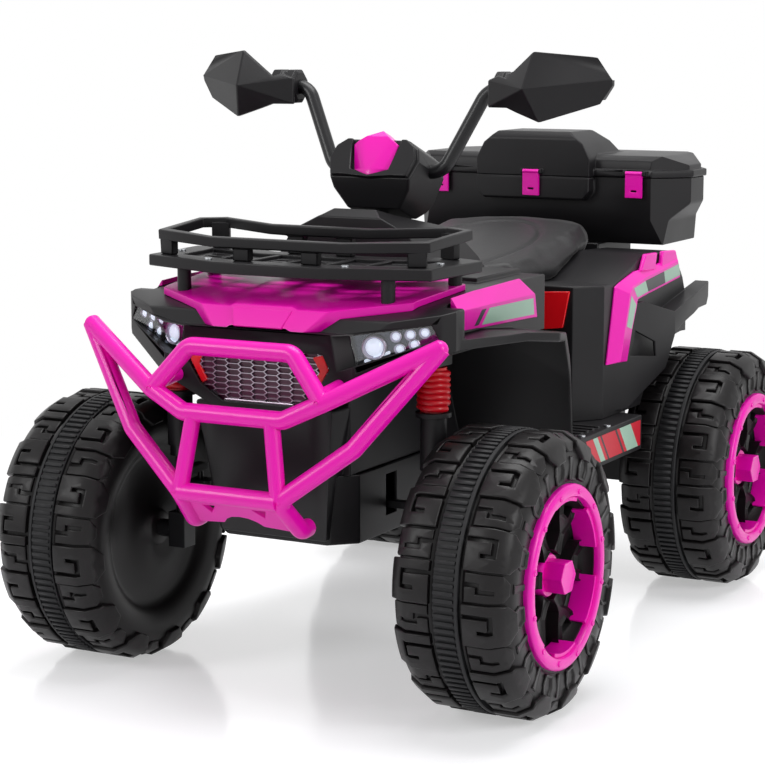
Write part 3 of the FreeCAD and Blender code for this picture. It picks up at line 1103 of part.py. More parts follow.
def seat_loft(wall):
    """A cushion through crowned sections with drawn-in sides; a wall above zero gives its hollow."""
    stations = [("deck_rear + 28", 52, 23), ("deck_rear + 90", 26, 3),
                ("(deck_rear + box_front) / 2", 2, 0), ("box_front - 83", 0, 0), ("box_front - 9", 20, 24)]
    sections = []
    for y, narrow, low in stations:
        half = num(f"seat_half - {narrow} - {wall}")
        foot = num(f"{seat_plane(y)}") - (1 if wall else 0)
        top = num(f"{seat_plane(y)} + seat_height - {low} - {wall}")
        tuck, crown = num("seat_tuck"), num("seat_crown")
        at = num(y)
        heel, brow = Vector(half - tuck, at, foot), Vector(half - tuck, at, top - crown)
        belly = Vector(half + 2, at, (foot + top) / 2)
        arcs = [Part.Arc(heel, belly, brow), Part.Arc(brow, Vector(0, at, top), flip(brow)),
                Part.Arc(flip(brow), flip(belly), flip(heel)), Part.LineSegment(flip(heel), heel)]
        sections.append(Part.Wire([arc.toShape() for arc in arcs]))
    return Part.makeLoft(sections, True)


def make_seat():
    hollow = seat_loft(num("skin"))
    trim = Part.makeBox(400, num("box_front - deck_rear - 53"), 400,
                        vec("-200", "deck_rear + 36", "deck_low - 200"))
    keep("seat", coded("seat", seat_loft(0).cut(hollow.common(trim))))


# Storage box, lid and latches
def box_plan(wall):
    return symmetric([(f"box_half - 46 - {wall} * 0.6", f"box_front + {wall}"),
                      (f"box_half - {wall}", f"box_front + 51 + {wall} * 0.4"),
                      (f"box_half - {wall}", f"box_front + 107 - {wall} * 0.4"),
                      (f"box_half - 74 - {wall} * 0.6", f"box_rear - {wall}")])


def tub_piece(name, wall, top):
    """The box below its seam, or its hollow when a wall is given."""
    low = f"(box_low + {wall})"
    break_z = f"box_low + 38 + {wall} * 0.4"
    face = symmetric([(f"box_half - 31 - {wall}", low), (f"box_half - 25 - {wall}", break_z),
                      (f"box_half + 1 - {wall}", f"box_low + 64 + {wall} * 0.4"),
                      (f"box_half + 1 - {wall}", top)])
    side = [(f"box_front + {wall}", top), (f"box_front + {wall}", break_z),
            (f"box_front + 16 + {wall}", low), (f"box_rear - 40 - {wall}", low),
            (f"box_rear - {wall}", f"box_low + 55 + {wall} * 0.4"), (f"box_rear - {wall}", top)]
    return common(name, prism(f"{name}_plan", "XY", low, top, box_plan(wall)),
                  prism(f"{name}_face", "XZ", "box_front - 45", "box_rear + 34", face),
                  prism(f"{name}_side", "YZ", "-box_half - 20", "box_half + 20", side))


def make_tub():
    bulge = prism("tub_bulge", "XZ", "bulge_front", "box_front + 2",
                  symmetric([("bulge_half - 12", "seam_z - 36"), ("bulge_half", "seam_z - 22"),
                             ("bulge_half", "seam_z")]))
    start = "(barrel_half + 2)"
    ear = rod("box_barrel", "X", "barrel_radius", (start, "hinge_y", "seam_z"), "ear_length")
    arm = block("box_ear", (start, f"{start} + ear_length"), ("box_rear - 2", "hinge_y"),
                ("seam_z - barrel_radius", "seam_z - 0.5"))
    pin = rod("hinge_pin_rod", "X", "hinge_pin", ("-barrel_half - 22", "hinge_y", "seam_z"),
              "2 * barrel_half + 44")
    outer = fuse("tub_outer", tub_piece("tub_hull", "0", "seam_z"), bulge,
                 both("box_ears", fuse("box_ear_form", ear, arm)), pin)
    keep("storage_box", cut("tub_form", outer, tub_piece("tub_room", "skin", "(seam_z + 1)")))


def crown_piece(name, wall, low):
    """The lid's low crown, or its hollow when a wall is given."""
    inset = f"(4 + {wall} * 1.2)"
    top = f"(lid_top - {wall})"
    face = symmetric([(f"box_half - {inset}", low), (f"box_half - {inset}", f"{top} - 14"),
                      ("box_half - 35", top)])
    side = [(f"box_front - 1 + {inset}", low), (f"box_front + 2 + {inset}", f"{top} - 6"),
            ("box_front + 18", top), ("box_rear - 42", top), (f"box_rear - {inset}", f"{top} - 16"),
            (f"box_rear - {inset}", low)]
    return common(name, prism(f"{name}_plan", "XY", low, top, box_plan(inset)),
                  prism(f"{name}_face", "XZ", "box_front - 45", "box_rear + 34", face),
                  prism(f"{name}_side", "YZ", "-box_half - 20", "box_half + 20", side))


def hump_piece(name, wall, low):
    """The backrest hump over the lid's middle, or its hollow when a wall is given."""
    top = f"(hump_top - {wall})"
    front = f"(bulge_front + {wall})"
    rear = f"(box_front + 121 - {wall})"
    half = f"(bulge_half - {wall})"
    face = symmetric([(half, low), (half, "lid_top - 6"), (f"{half} - 12", f"lid_top + 18 - {wall} / 2"),
                      (f"{half} - 35", top)])
    side = [(front, low), (front, f"{top} - 10"), (f"{front} + 8", top), (f"{rear} - 46", top),
            (rear, f"lid_top - 2 - {wall}"), (rear, low)]
    return common(name, prism(f"{name}_face", "XZ", front, rear, face),
                  prism(f"{name}_side", "YZ", "-bulge_half - 24", "bulge_half + 24", side))


LATCHES = {"left_latch": ("latch_x", "(box_front - rim_proud)"), "centre_latch": ("0", "bulge_front"),
           "right_latch": ("-latch_x", "(box_front - rim_proud)")}


def latch_mounts():
    """Ears and pins on the lid that the latches swing on."""
    fits = []
    for name, (x, face) in LATCHES.items():
        for side, low, high in (("a", "-latch_half - 5", "-latch_half - fit_gap"),
                                ("b", "latch_half + fit_gap", "latch_half + 5")):
            fits.append(block(f"{name}_ear_{side}", (f"{x} + {low}", f"{x} + {high}"),
                              (f"{face} - 6.6", f"{face} + 3"), ("seam_z + 4", "seam_z + 11")))
        fits.append(rod(f"{name}_pin", "X", "latch_pin",
                        (f"{x} - latch_half - 4", f"{face} - 3.6", "latch_z"), "2 * latch_half + 8"))
    return fits


def make_lid():
    low = "(seam_z + fit_gap)"
    rim_top = "(seam_z + rim_height)"
    rim = prism("lid_rim", "XY", low, rim_top, box_plan("-rim_proud"))
    barrel = rod("lid_barrel", "X", "barrel_radius", ("-barrel_half", "hinge_y", "seam_z"),
                 "2 * barrel_half")
    web = block("lid_web", ("-barrel_half", "barrel_half"), ("box_rear - 1", "hinge_y"),
                ("seam_z + 1", "seam_z + 7"))
    bore = rod("lid_bore", "X", "hinge_pin + run_gap", ("-barrel_half - 12", "hinge_y", "seam_z"),
               "2 * barrel_half + 24")
    relief = rod("lid_relief", "X", "barrel_radius + 3 * fit_gap", ("barrel_half", "hinge_y", "seam_z"),
                 "ear_length + 4")
    solid = fuse("lid_solid", rim, crown_piece("lid_crown", "0", f"{rim_top} - 1"),
                 hump_piece("lid_hump", "0", low), barrel, web)
    shell = cut("lid_shell", solid, crown_piece("lid_room", "skin", "seam_z"),
                hump_piece("hump_room", "skin", "seam_z"), bore, both("lid_reliefs", relief))
    keep("box_lid", fuse("lid_form", shell, *latch_mounts()))


def make_latches():
    for name, (x, face) in LATCHES.items():
        wide = (f"{x} - latch_half", f"{x} + latch_half")
        plate = block(f"{name}_plate", wide, (f"{face} - 1.6 - latch_thick", f"{face} - 1.6"),
                      ("latch_low", "latch_z"))
        knuckle = rod(f"{name}_knuckle", "X", "latch_pin + 1.7", (wide[0], f"{face} - 3.6", "latch_z"),
                      "2 * latch_half")
        hole = rod(f"{name}_hole", "X", "latch_pin + run_gap",
                   (f"{wide[0]} - 1", f"{face} - 3.6", "latch_z"), "2 * latch_half + 2")
        notch = block(f"{name}_slot", (f"{x} - 5", f"{x} + 5"), (f"{face} - 7", face),
                      ("latch_low + 9", "latch_low + 12"))
        keep(name, cut(f"{name}_form", fuse(f"{name}_solid", plate, knuckle), hole, notch))


def make_screws():
    spots = [("board_out - 7", "board_front + 65", "board_top"),
             ("board_out - 7", "board_rear - 115", "board_top"),
             ("pan_half + 6", "tier_front - 8", "board_top"),
             ("tray_half - 24", "front_y + 14", "tray_top"),
             ("tray_half - 116", "front_y - tray_front + 22", "tray_top")]
    heads = [rod(f"screw_{index}", "Z", "screw_radius", spot, "screw_height") for index,
             spot in enumerate(spots)]
    twins("body_screws", group("screw_row", *heads))


def check_and_write():
    faults = [item.Name for item in doc.Objects if {"Invalid", "Error"} & set(item.State)]
    for label, item in nodes.items():
        if item.Shape.isNull() or not item.Shape.isValid() or not item.Shape.Solids:
            faults.append(label)
    if faults:
        raise SystemExit("not written, faulty: " + ", ".join(faults))
    os.makedirs("parts", exist_ok=True)
    for label, item in nodes.items():
        item.Shape.exportStep(f"parts/{label}.step")
    print(len(nodes), "nodes written")


make_wheels()
make_knuckles()
make_struts()
make_frame()
make_tie_rod()
make_pan()
make_drive()
make_footboards()
front = make_front_body()
make_bull_bar(front)
make_rack(front)
make_rail()
make_console()
make_handlebar()
make_head()
make_guards()
make_rear_body()
make_seat()
make_tub()
make_lid()
make_latches()
make_screws()
doc.recompute()
check_and_write()
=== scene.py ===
"""A kids quad bike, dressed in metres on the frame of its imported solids."""
import json
import math
from itertools import combinations

import bmesh
import bpy
from mathutils import Matrix, Vector
from mathutils.geometry import intersect_point_line


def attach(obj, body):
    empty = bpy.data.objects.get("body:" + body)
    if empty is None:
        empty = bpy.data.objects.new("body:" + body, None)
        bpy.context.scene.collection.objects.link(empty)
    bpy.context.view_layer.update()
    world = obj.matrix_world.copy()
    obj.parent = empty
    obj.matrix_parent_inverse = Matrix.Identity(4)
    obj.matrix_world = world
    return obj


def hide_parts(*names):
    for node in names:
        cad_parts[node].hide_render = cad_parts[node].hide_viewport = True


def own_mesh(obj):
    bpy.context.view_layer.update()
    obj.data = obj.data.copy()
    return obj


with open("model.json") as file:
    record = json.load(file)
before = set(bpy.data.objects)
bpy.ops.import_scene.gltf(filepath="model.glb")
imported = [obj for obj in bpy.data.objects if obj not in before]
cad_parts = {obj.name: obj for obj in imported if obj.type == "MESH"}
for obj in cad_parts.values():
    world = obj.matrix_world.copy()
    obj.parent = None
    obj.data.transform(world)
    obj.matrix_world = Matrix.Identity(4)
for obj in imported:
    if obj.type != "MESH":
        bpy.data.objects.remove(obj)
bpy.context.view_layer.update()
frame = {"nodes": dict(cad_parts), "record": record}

MM = 0.001
scene = bpy.context.scene
BODY_OF = {node: body for body, nodes in frame["record"]["behaviour"]["bodies"].items() for node in nodes}
SIDES = (("left", 1), ("right", -1))
# Points this close are one point, and faces within this angle are one flat
WELD = 0.02 * MM
FLAT = math.radians(0.5)
# How near a plane or axis a point counts as on it, in millimetres and in metres, and beside a cut
CUT_MM, CUT_M, BESIDE_CUT = 1e-4, 1e-6, 1e-5
# The share of the room beside an edge that its rounding may take
ROUND_SHARE = 0.3


# Materials
def linear(code):
    """An sRGB hex colour in linear light."""
    parts = [int(code[start:start + 2], 16) / 255 for start in (0, 2, 4)]
    return [part / 12.92 if part <= 0.04045 else ((part + 0.055) / 1.055) ** 2.4 for part in parts] + [1]


def add(tree, kind, settings=None, links=None):
    """One node with its settings and the sockets that feed it."""
    node = tree.nodes.new(kind)
    for key, value in (settings or {}).items():
        if isinstance(key, str) and key in node.bl_rna.properties:
            setattr(node, key, value)
        else:
            node.inputs[key].default_value = value
    for key, socket in (links or {}).items():
        tree.links.new(socket, node.inputs[key])
    return node


def begin(name, settings):
    """A material with its shader set, and the coordinates its patterns read."""
    material = bpy.data.materials.new(name)
    material.use_nodes = True
    tree = material.node_tree
    shader = tree.nodes["Principled BSDF"]
    for key, value in settings.items():
        shader.inputs[key].default_value = value
    place = add(tree, "ShaderNodeTexCoord").outputs["Object"]
    return material, tree, shader, place


# What moulded() calls the shader's inputs
SHADER_INPUTS = {"ior": "IOR", "specular": "Specular IOR Level", "coat": "Coat Weight",
                 "coat_roughness": "Coat Roughness", "glow": "Emission Color",
                 "glow_strength": "Emission Strength"}
CLOUD, SEAT_CLOUD, PEBBLE, RIPPLE = 90, 60, 3, 12


def noise(tree, place, size, detail):
    """Cloudy noise of a size in millimetres."""
    node = add(tree, "ShaderNodeTexNoise", {"Scale": 1 / (size * MM), "Detail": detail}, {"Vector": place})
    return node.outputs["Fac"]


def ranged(tree, value, low, high):
    """A value from 0 to 1, stretched to run from low to high."""
    return add(tree, "ShaderNodeMapRange", {"To Min": low, "To Max": high},
               {"Value": value}).outputs["Result"]


def clouded(tree, shader, place, size, shades, gloss):
    """Two near shades in soft clouds of a size in millimetres, with gloss that follows them."""
    cloud = noise(tree, place, size, 3)
    low, high = map(linear, shades)
    shade = add(tree, "ShaderNodeMix", {"data_type": "RGBA", 6: low, 7: high}, {0: cloud})
    tree.links.new(shade.outputs[2], shader.inputs["Base Color"])
    tree.links.new(ranged(tree, cloud, *gloss), shader.inputs["Roughness"])


def embossed(tree, shader, pattern, depth):
    """A fine relief of a depth in millimetres, from a pattern."""
    bump = add(tree, "ShaderNodeBump", {"Strength": 0.5, "Distance": depth * MM}, {"Height": pattern})
    tree.links.new(bump.outputs["Normal"], shader.inputs["Normal"])


def glossed(tree, shader, place, size, low, high):
    """Uneven gloss in patches of a size in millimetres."""
    tree.links.new(ranged(tree, noise(tree, place, size, 2), low, high), shader.inputs["Roughness"])


def moulded(name, low, high, roughness, grain, depth, **settings):
    """Moulded plastic or rubber: two near shades, uneven gloss, and the tool's eroded grain.
    The real grain is about 0.3 mm; it is drawn coarser so that it shows."""
    inputs = {SHADER_INPUTS[key]: value for key, value in settings.items()}
    material, tree, shader, place = begin(name, inputs)
    clouded(tree, shader, place, CLOUD, (low, high), (roughness - 0.06, roughness + 0.06))
    embossed(tree, shader, noise(tree, place, grain, 2), depth)
    return material


def plated(name, colour, roughness, streak):
    """Plated or vacuum-coated metal: clean reflections with faint drawn streaks."""
    material, tree, shader, place = begin(name, {"Base Color": linear(colour), "Metallic": 1})
    stretch = add(tree, "ShaderNodeMapping", {"Scale": (1, 0.08, 1)}, {"Vector": place})
    glossed(tree, shader, stretch.outputs["Vector"], streak, roughness * 0.7, roughness * 1.4)
    return material


def clear_cover():
    """Injection-moulded polycarbonate: water clear, with the faint ripple of the mould in its gloss."""
    material, tree, shader, place = begin("clear_polycarbonate", {
        "Base Color": linear("F4F7FA"), "IOR": 1.585, "Transmission Weight": 1})
    glossed(tree, shader, place, RIPPLE, 0.01, 0.06)
    return material


def grained_vinyl():
    """Seat vinyl: pebbled leather grain and a soft sheen.
    The real pebbles are about 1.5 mm; they are drawn at 3 mm to show."""
    material, tree, shader, place = begin("grained_seat_vinyl", {
        "IOR": 1.5, "Specular IOR Level": 0.3, "Sheen Weight": 0.12, "Sheen Roughness": 0.4})
    clouded(tree, shader, place, SEAT_CLOUD, ("151416", "1D1C1E"), (0.38, 0.52))
    pebble = add(tree, "ShaderNodeTexVoronoi", {"Scale": 1 / (PEBBLE * MM)}, {"Vector": place})
    embossed(tree, shader, pebble.outputs["Distance"], 0.35)
    return material


# Injection-moulded polypropylene: satin charcoal with a fine even grain that keeps reflections faint
BLACK = moulded("charcoal_polypropylene", "131214", "1A191B", 0.40, 2.2, 0.10, ior=1.49, specular=0.24)
# Blow-moulded polyethylene: waxier and a little browner, with soft sheen on the tread blocks
TYRE = moulded("blow_moulded_polyethylene", "0F0E0F", "171415", 0.4, 3.0, 0.14, ior=1.51, specular=0.24)
# Thermoplastic rubbers: more matt than the plastics beside them
BAND = moulded("traction_rubber", "151517", "1D1D1F", 0.58, 1.8, 0.16, ior=1.5, specular=0.3)
GRIP = moulded("grip_rubber", "121214", "1A1A1C", 0.7, 1.6, 0.18, ior=1.5, specular=0.25)
# High-gloss ABS coloured through: strong colour with a clear top gloss
PINK = moulded("magenta_abs", "EA02AC", "F406B6", 0.34, 4.0, 0.03, ior=1.54, specular=0.3, coat=0.12,
               coat_roughness=0.12)
RED = moulded("red_abs", "E00A16", "F0101E", 0.32, 4.0, 0.03, ior=1.54, specular=0.35, coat=0.15,
              coat_roughness=0.14)
# The same ABS, painted darker for the shade behind the grille's cells
CELL_SHADE = moulded("magenta_abs_painted_shade", "3A0726", "500A36", 0.35, 4.0, 0.03, ior=1.54)
# Powder-coated steel with a slight orange peel
COATED = moulded("black_powder_coat", "101012", "171719", 0.34, 2.6, 0.08, ior=1.5, specular=0.35)
RED_STEEL = moulded("red_powder_coat", "B40014", "C4041A", 0.36, 2.6, 0.06, ior=1.5, specular=0.35,
                    coat=0.1)
ZINC = plated("zinc_plated_steel", "C4C7CB", 0.28, 1.5)
CHROME = plated("vacuum_chromed_abs", "A89FAA", 0.3, 3.0)
# Smoked vacuum metal inside the lamp bowls: dark mirror
BOWL = plated("smoked_lamp_metal", "3C3E48", 0.10, 2.0)
# Opal polycarbonate of the lamp elements: bright, cool and glossy, and lit as the photograph shows
OPAL = moulded("opal_polycarbonate", "E4EAF6", "F3F7FF", 0.16, 5.0, 0.02, ior=1.585, coat=0.4,
               glow=linear("E6EEFF"), glow_strength=0.7)
LENS = clear_cover()
# Printed vinyl film: flat colour with a slight stipple
GREEN_FILM = moulded("grey_green_vinyl_film", "96B8A4", "A6C7B3", 0.36, 3.5, 0.02, ior=1.5)
RED_FILM = moulded("red_vinyl_film", "BE0E28", "CC1430", 0.36, 3.5, 0.02, ior=1.5)
DARK_FILM = moulded("graphite_vinyl_film", "2A2B2E", "333438", 0.38, 3.5, 0.02, ior=1.5)
VINYL = grained_vinyl()


# Mesh tools
def mesh_of(form):
    """A bmesh as a mesh."""
    mesh = bpy.data.meshes.new("form")
    form.to_mesh(mesh)
    form.free()
    return mesh


def placed(name, data):
    """A new object in the scene."""
    item = bpy.data.objects.new(name, data)
    scene.collection.objects.link(item)
    return item


def show(name, mesh, material, node):
    """Puts a finished mesh in the scene in place of a solid, on the solid's own body."""
    item = placed(name, mesh)
    shades = material if isinstance(material, list) else [material]
    indices = [min(face.material_index, len(shades) - 1) for face in mesh.polygons]
    mesh.materials.clear()
    for shade in shades:
        mesh.materials.append(shade)
    mesh.polygons.foreach_set("material_index", indices)
    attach(item, BODY_OF[node])
    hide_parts(node)
    return item


def settled(item):
    """The mesh of a helper object with its modifiers applied; the helper goes."""
    bpy.context.view_layer.update()
    made = bpy.data.meshes.new_from_object(item.evaluated_get(bpy.context.evaluated_depsgraph_get()))
    bpy.data.objects.remove(item)
    return made


def helper(mesh):
    return placed("helper", mesh)


def spread(vert, edge):
    """How far a vertex is from an edge."""
    start, end = (corner.co for corner in edge.verts)
    share = intersect_point_line(vert.co, start, end)[1]
    return (start.lerp(end, min(1, max(0, share))) - vert.co).length


def rooms(form):
    """How much room each edge has: to the end of the edges it meets, or to the other edges of its faces."""
    room = {edge: min(near.calc_length() for end in edge.verts for near in end.link_edges)
            for edge in form.edges}
    for face in form.faces:
        for one, other in combinations(face.edges, 2):
            if not set(one.verts) & set(other.verts):
                apart = min([spread(vert, other) for vert in one.verts]
                            + [spread(vert, one) for vert in other.verts])
                room[one] = min(room[one], apart)
                room[other] = min(room[other], apart)
    return room


def rounded(form, width, segments=2, angle=28):
    """A bmesh with its hard edges rounded, less where there is little room beside them."""
    weight = form.edges.layers.float.new("bevel_weight_edge")
    limit = math.radians(angle)
    for edge, room in rooms(form).items():
        if len(edge.link_faces) == 2 and edge.calc_face_angle(0) > limit:
            edge[weight] = min(1, ROUND_SHARE * room / width)
    item = helper(mesh_of(form))
    bevel = item.modifiers.new("round", "BEVEL")
    bevel.limit_method = "WEIGHT"
    bevel.width = width
    bevel.segments = segments
    bevel.use_clamp_overlap = False
    even = item.modifiers.new("even", "WEIGHTED_NORMAL")
    even.keep_sharp = True
    for face in item.data.polygons:
        face.use_smooth = True
    mesh = settled(item)
    mesh.set_sharp_from_angle(angle=math.radians(40))
    return mesh


def cleaned(form):
    """One skin with its flats merged; flats with more than four corners are cut into triangles."""
    bmesh.ops.remove_doubles(form, verts=form.verts, dist=WELD)
    bmesh.ops.dissolve_limit(form, angle_limit=FLAT, verts=form.verts, edges=form.edges)
    bmesh.ops.triangulate(form, faces=[face for face in form.faces if len(face.verts) > 4])
    return form


def welded(node):
    """A solid's loose triangles as one clean skin."""
    form = bmesh.new()
    form.from_mesh(frame["nodes"][node].data)
    return cleaned(form)


def soften(node, material, slot, width, *extras):
    """The solid's own form with rounded edges, standing for it, with pieces that are fixed to it."""
    mesh = rounded(welded(node), width * MM)
    if extras:
        mesh = merged(mesh, *extras)
    return show(f"{node}_moulding", mesh, material, node)


def painted(mesh, index):
    """A mesh that takes another of its piece's materials."""
    for face in mesh.polygons:
        face.material_index = index
    return mesh


def outward(form):
    """A form with its faces looking out."""
    bmesh.ops.recalc_face_normals(form, faces=form.faces)
    return form


def turned(points, steps):
    """A form turned round X from (along, radius) points; a point on the axis closes it."""
    form = bmesh.new()
    rings = []
    for along, radius in points:
        count = 1 if radius < CUT_MM else steps
        angles = [2 * math.pi * step / steps for step in range(count)]
        rings.append([form.verts.new((along, radius * math.cos(turn), radius * math.sin(turn)))
                      for turn in angles])
    for near, far in zip(rings, rings[1:]):
        for step in range(steps):
            after = (step + 1) % steps
            corners = [near[step % len(near)], near[after % len(near)], far[after % len(far)],
                       far[step % len(far)]]
            unique = list(dict.fromkeys(corners))
            if len(unique) > 2:
                form.faces.new(unique)
    return outward(form)


def thickened(form, faces, height):
    """A flat sheet raised to a closed plate on the third axis."""
    grown = bmesh.ops.extrude_face_region(form, geom=faces, use_keep_orig=True)
    moving = [part for part in grown["geom"] if isinstance(part, bmesh.types.BMVert)]
    bmesh.ops.translate(form, verts=moving, vec=(0, 0, height))
    return outward(form)


def slab(outline, low, high):
    """A closed prism over an outline in its own plane, from low to high on the third axis."""
    form = bmesh.new()
    base = form.faces.new([form.verts.new((across, up, low)) for across, up in outline])
    return thickened(form, [base], high - low)


def pierced(outline, holes, low, high):
    """A flat plate with holes, by its outlines in its own plane, from low to high on the third axis."""
    form = bmesh.new()
    edges = []
    for loop in (outline, *holes):
        verts = [form.verts.new((across, up, low)) for across, up in loop]
        edges += [form.edges.new(ends) for ends in zip(verts, verts[1:] + verts[:1])]
    bmesh.ops.triangle_fill(form, edges=edges, use_beauty=True)
    return thickened(form, form.faces[:], high - low)


def mirrored(outline):
    """An outline's points on the other side of the middle, from the last to the first."""
    return [(-across, up) for across, up in reversed(outline)]


def bridged(form, near, far):
    """A closed band of faces between two rings of points."""
    for step in range(len(near)):
        after = (step + 1) % len(near)
        form.faces.new((near[step], near[after], far[after], far[step]))


def lofted(rows, capped=True):
    """A form through rings of points."""
    form = bmesh.new()
    rings = [[form.verts.new(spot) for spot in row] for row in rows]
    for near, far in zip(rings, rings[1:]):
        bridged(form, near, far)
    if capped:
        form.faces.new(rings[0])
        form.faces.new(rings[-1])
    return outward(form)


def sunk(form, margins, depth):
    """A form whose top is sunk inside one margin after another."""
    top = max(form.faces, key=lambda face: face.calc_center_median().z)
    for margin in margins:
        bmesh.ops.inset_region(form, faces=[top], thickness=margin)
    bmesh.ops.translate(form, verts=top.verts, vec=(0, 0, -depth))
    return form


def sliced(form, spot, normal, dist, parts=None, drop=False):
    """Cuts a form, or some of its parts, along a plane; what lies beyond the plane can go."""
    parts = parts or form.verts[:] + form.edges[:] + form.faces[:]
    bmesh.ops.bisect_plane(form, geom=parts, dist=dist, plane_co=spot, plane_no=normal, clear_outer=drop)


def carved(form, tool):
    """A form with another cut out of it."""
    item, cutter = helper(mesh_of(form)), helper(mesh_of(tool))
    cut = item.modifiers.new("cut", "BOOLEAN")
    cut.solver = "EXACT"
    cut.object = cutter
    made = joined(settled(item))
    bpy.data.objects.remove(cutter)
    return cleaned(made)


def moved(form, matrix):
    bmesh.ops.transform(form, matrix=matrix, verts=form.verts)
    if matrix.determinant() < 0:
        bmesh.ops.reverse_faces(form, faces=form.faces)
    return form


def joined(*meshes):
    """Several meshes as one bmesh; the meshes go."""
    form = bmesh.new()
    for mesh in meshes:
        form.from_mesh(mesh)
        bpy.data.meshes.remove(mesh)
    return form


def smooth(mesh, angle):
    mesh.shade_smooth()
    mesh.set_sharp_from_angle(angle=math.radians(angle))
    return mesh


def spun(points, steps, angle, place=Matrix()):
    """A smooth mesh turned round X, then put in its place."""
    return smooth(mesh_of(moved(turned(points, steps), place)), angle)


def pressed(outline, low, high, place, width, segments=2, angle=28):
    """A slab put in its place, with rounded edges."""
    return rounded(moved(slab(outline, low, high), place), width, segments, angle)


def merged(*meshes):
    """Several meshes as one."""
    return mesh_of(joined(*meshes))


# How an outline's own axes (across, up, out) lie on the vehicle
SIDEWAYS = Matrix(((0, 0, 1, 0), (1, 0, 0, 0), (0, 1, 0, 0), (0, 0, 0, 1)))
FORWARD = Matrix(((1, 0, 0, 0), (0, 0, -1, 0), (0, 1, 0, 0), (0, 0, 0, 1)))
OUT_OF_PLANE = Matrix(((0, 1, 0, 0), (0, 0, 1, 0), (1, 0, 0, 0), (0, 0, 0, 1)))
ACROSS = Matrix.Scale(-1, 4, (1, 0, 0))
IN_METRES = Matrix.Scale(MM, 4)


def on_face(low, high):
    """Places an outline on a sloping face: across the vehicle, up from low to high, and out of the face."""
    up = (Vector(high) - Vector(low)).normalized()
    out = Vector((1, 0, 0)).cross(up)
    turn = Matrix(((1, 0, 0), up, out)).transposed().to_4x4()
    return Matrix.Translation(low) @ turn


def to_side(side):
    """What takes a left piece to its own side."""
    return ACROSS if side == "right" else Matrix()


def sided(mesh, side):
    """A left piece's mesh, in millimetres, in metres on its own side."""
    mesh.transform(IN_METRES @ to_side(side))
    if side == "right":
        mesh.flip_normals()
    return mesh


# Geometry Nodes that repeat a form
def new_tree(name, inputs, output):
    """An empty node tree with its inputs and the form that it gives."""
    tree = bpy.data.node_groups.new(name, "GeometryNodeTree")
    for label, kind in inputs.items():
        tree.interface.new_socket(label, in_out="INPUT", socket_type=f"NodeSocket{kind}")
    tree.interface.new_socket(output, in_out="OUTPUT", socket_type="NodeSocketGeometry")
    return tree, add(tree, "NodeGroupInput").outputs


def ended(tree, form, finish):
    """A node tree closed: its copies become real and take their material."""
    real = add(tree, "GeometryNodeRealizeInstances", {}, {"Geometry": form})
    shaded = add(tree, "GeometryNodeSetMaterial", {}, {"Geometry": real.outputs[0], "Material": finish})
    add(tree, "NodeGroupOutput", {}, {0: shaded.outputs[0]})
    return tree


def ring_tree():
    """Copies a form round the X axis."""
    tree, given = new_tree("copies_round_an_axle", {"Form": "Geometry", "Count": "Int", "Start": "Float",
                                                    "Finish": "Material"}, "Ring")
    spots = add(tree, "GeometryNodeMeshLine", {"Offset": (0, 0, 0)}, {"Count": given["Count"]})
    step = add(tree, "ShaderNodeMath", {"operation": "DIVIDE", 0: 2 * math.pi}, {1: given["Count"]})
    index = add(tree, "GeometryNodeInputIndex")
    turn = add(tree, "ShaderNodeMath", {"operation": "MULTIPLY_ADD"},
               {0: index.outputs[0], 1: step.outputs[0], 2: given["Start"]})
    angles = add(tree, "ShaderNodeCombineXYZ", {}, {"X": turn.outputs[0]})
    copies = add(tree, "GeometryNodeInstanceOnPoints", {}, {
        "Points": spots.outputs["Mesh"], "Instance": given["Form"], "Rotation": angles.outputs["Vector"]})
    return ended(tree, copies.outputs["Instances"], given["Finish"])


def spots_tree():
    """Copies a form to every point it is given."""
    tree, given = new_tree("copies_on_points",
                           {"Spots": "Geometry", "Form": "Object", "Finish": "Material"}, "Row")
    form = add(tree, "GeometryNodeObjectInfo", {}, {"Object": given["Form"]})
    copies = add(tree, "GeometryNodeInstanceOnPoints", {},
                 {"Points": given["Spots"], "Instance": form.outputs["Geometry"]})
    return ended(tree, copies.outputs["Instances"], given["Finish"])


def coil_tree():
    """A coil of round wire that stands on the XY plane."""
    tree, given = new_tree("wound_coil", {"Turns": "Float", "Radius": "Float", "Height": "Float",
                                          "Wire": "Float", "Finish": "Material"}, "Coil")
    path = add(tree, "GeometryNodeCurveSpiral", {"Resolution": 40}, {
        "Rotations": given["Turns"], "Start Radius": given["Radius"], "End Radius": given["Radius"],
        "Height": given["Height"]})
    wire = add(tree, "GeometryNodeCurvePrimitiveCircle", {"Resolution": 12}, {"Radius": given["Wire"]})
    tube = add(tree, "GeometryNodeCurveToMesh", {"Fill Caps": True},
               {"Curve": path.outputs["Curve"], "Profile Curve": wire.outputs["Curve"]})
    return ended(tree, tube.outputs["Mesh"], given["Finish"])


RING = ring_tree()
SPOTS = spots_tree()
COIL = coil_tree()


def with_nodes(mesh, tree, values):
    """The mesh that a node tree makes from a mesh and named values."""
    item = helper(mesh)
    modifier = item.modifiers.new("nodes", "NODES")
    modifier.node_group = tree
    for entry in tree.interface.items_tree:
        if entry.in_out == "INPUT" and entry.name in values:
            modifier[entry.identifier] = values[entry.name]
    return settled(item)


def round_axle(mesh, count, start, finish):
    return with_nodes(mesh, RING, {"Count": count, "Start": math.radians(start), "Finish": finish})


def on_spots(mesh, spots, finish):
    form = helper(mesh)
    points = bpy.data.meshes.new("spots")
    points.from_pydata(spots, [], [])
    made = with_nodes(points, SPOTS, {"Form": form, "Finish": finish})
    bpy.data.objects.remove(form)
    return painted(made, 0)


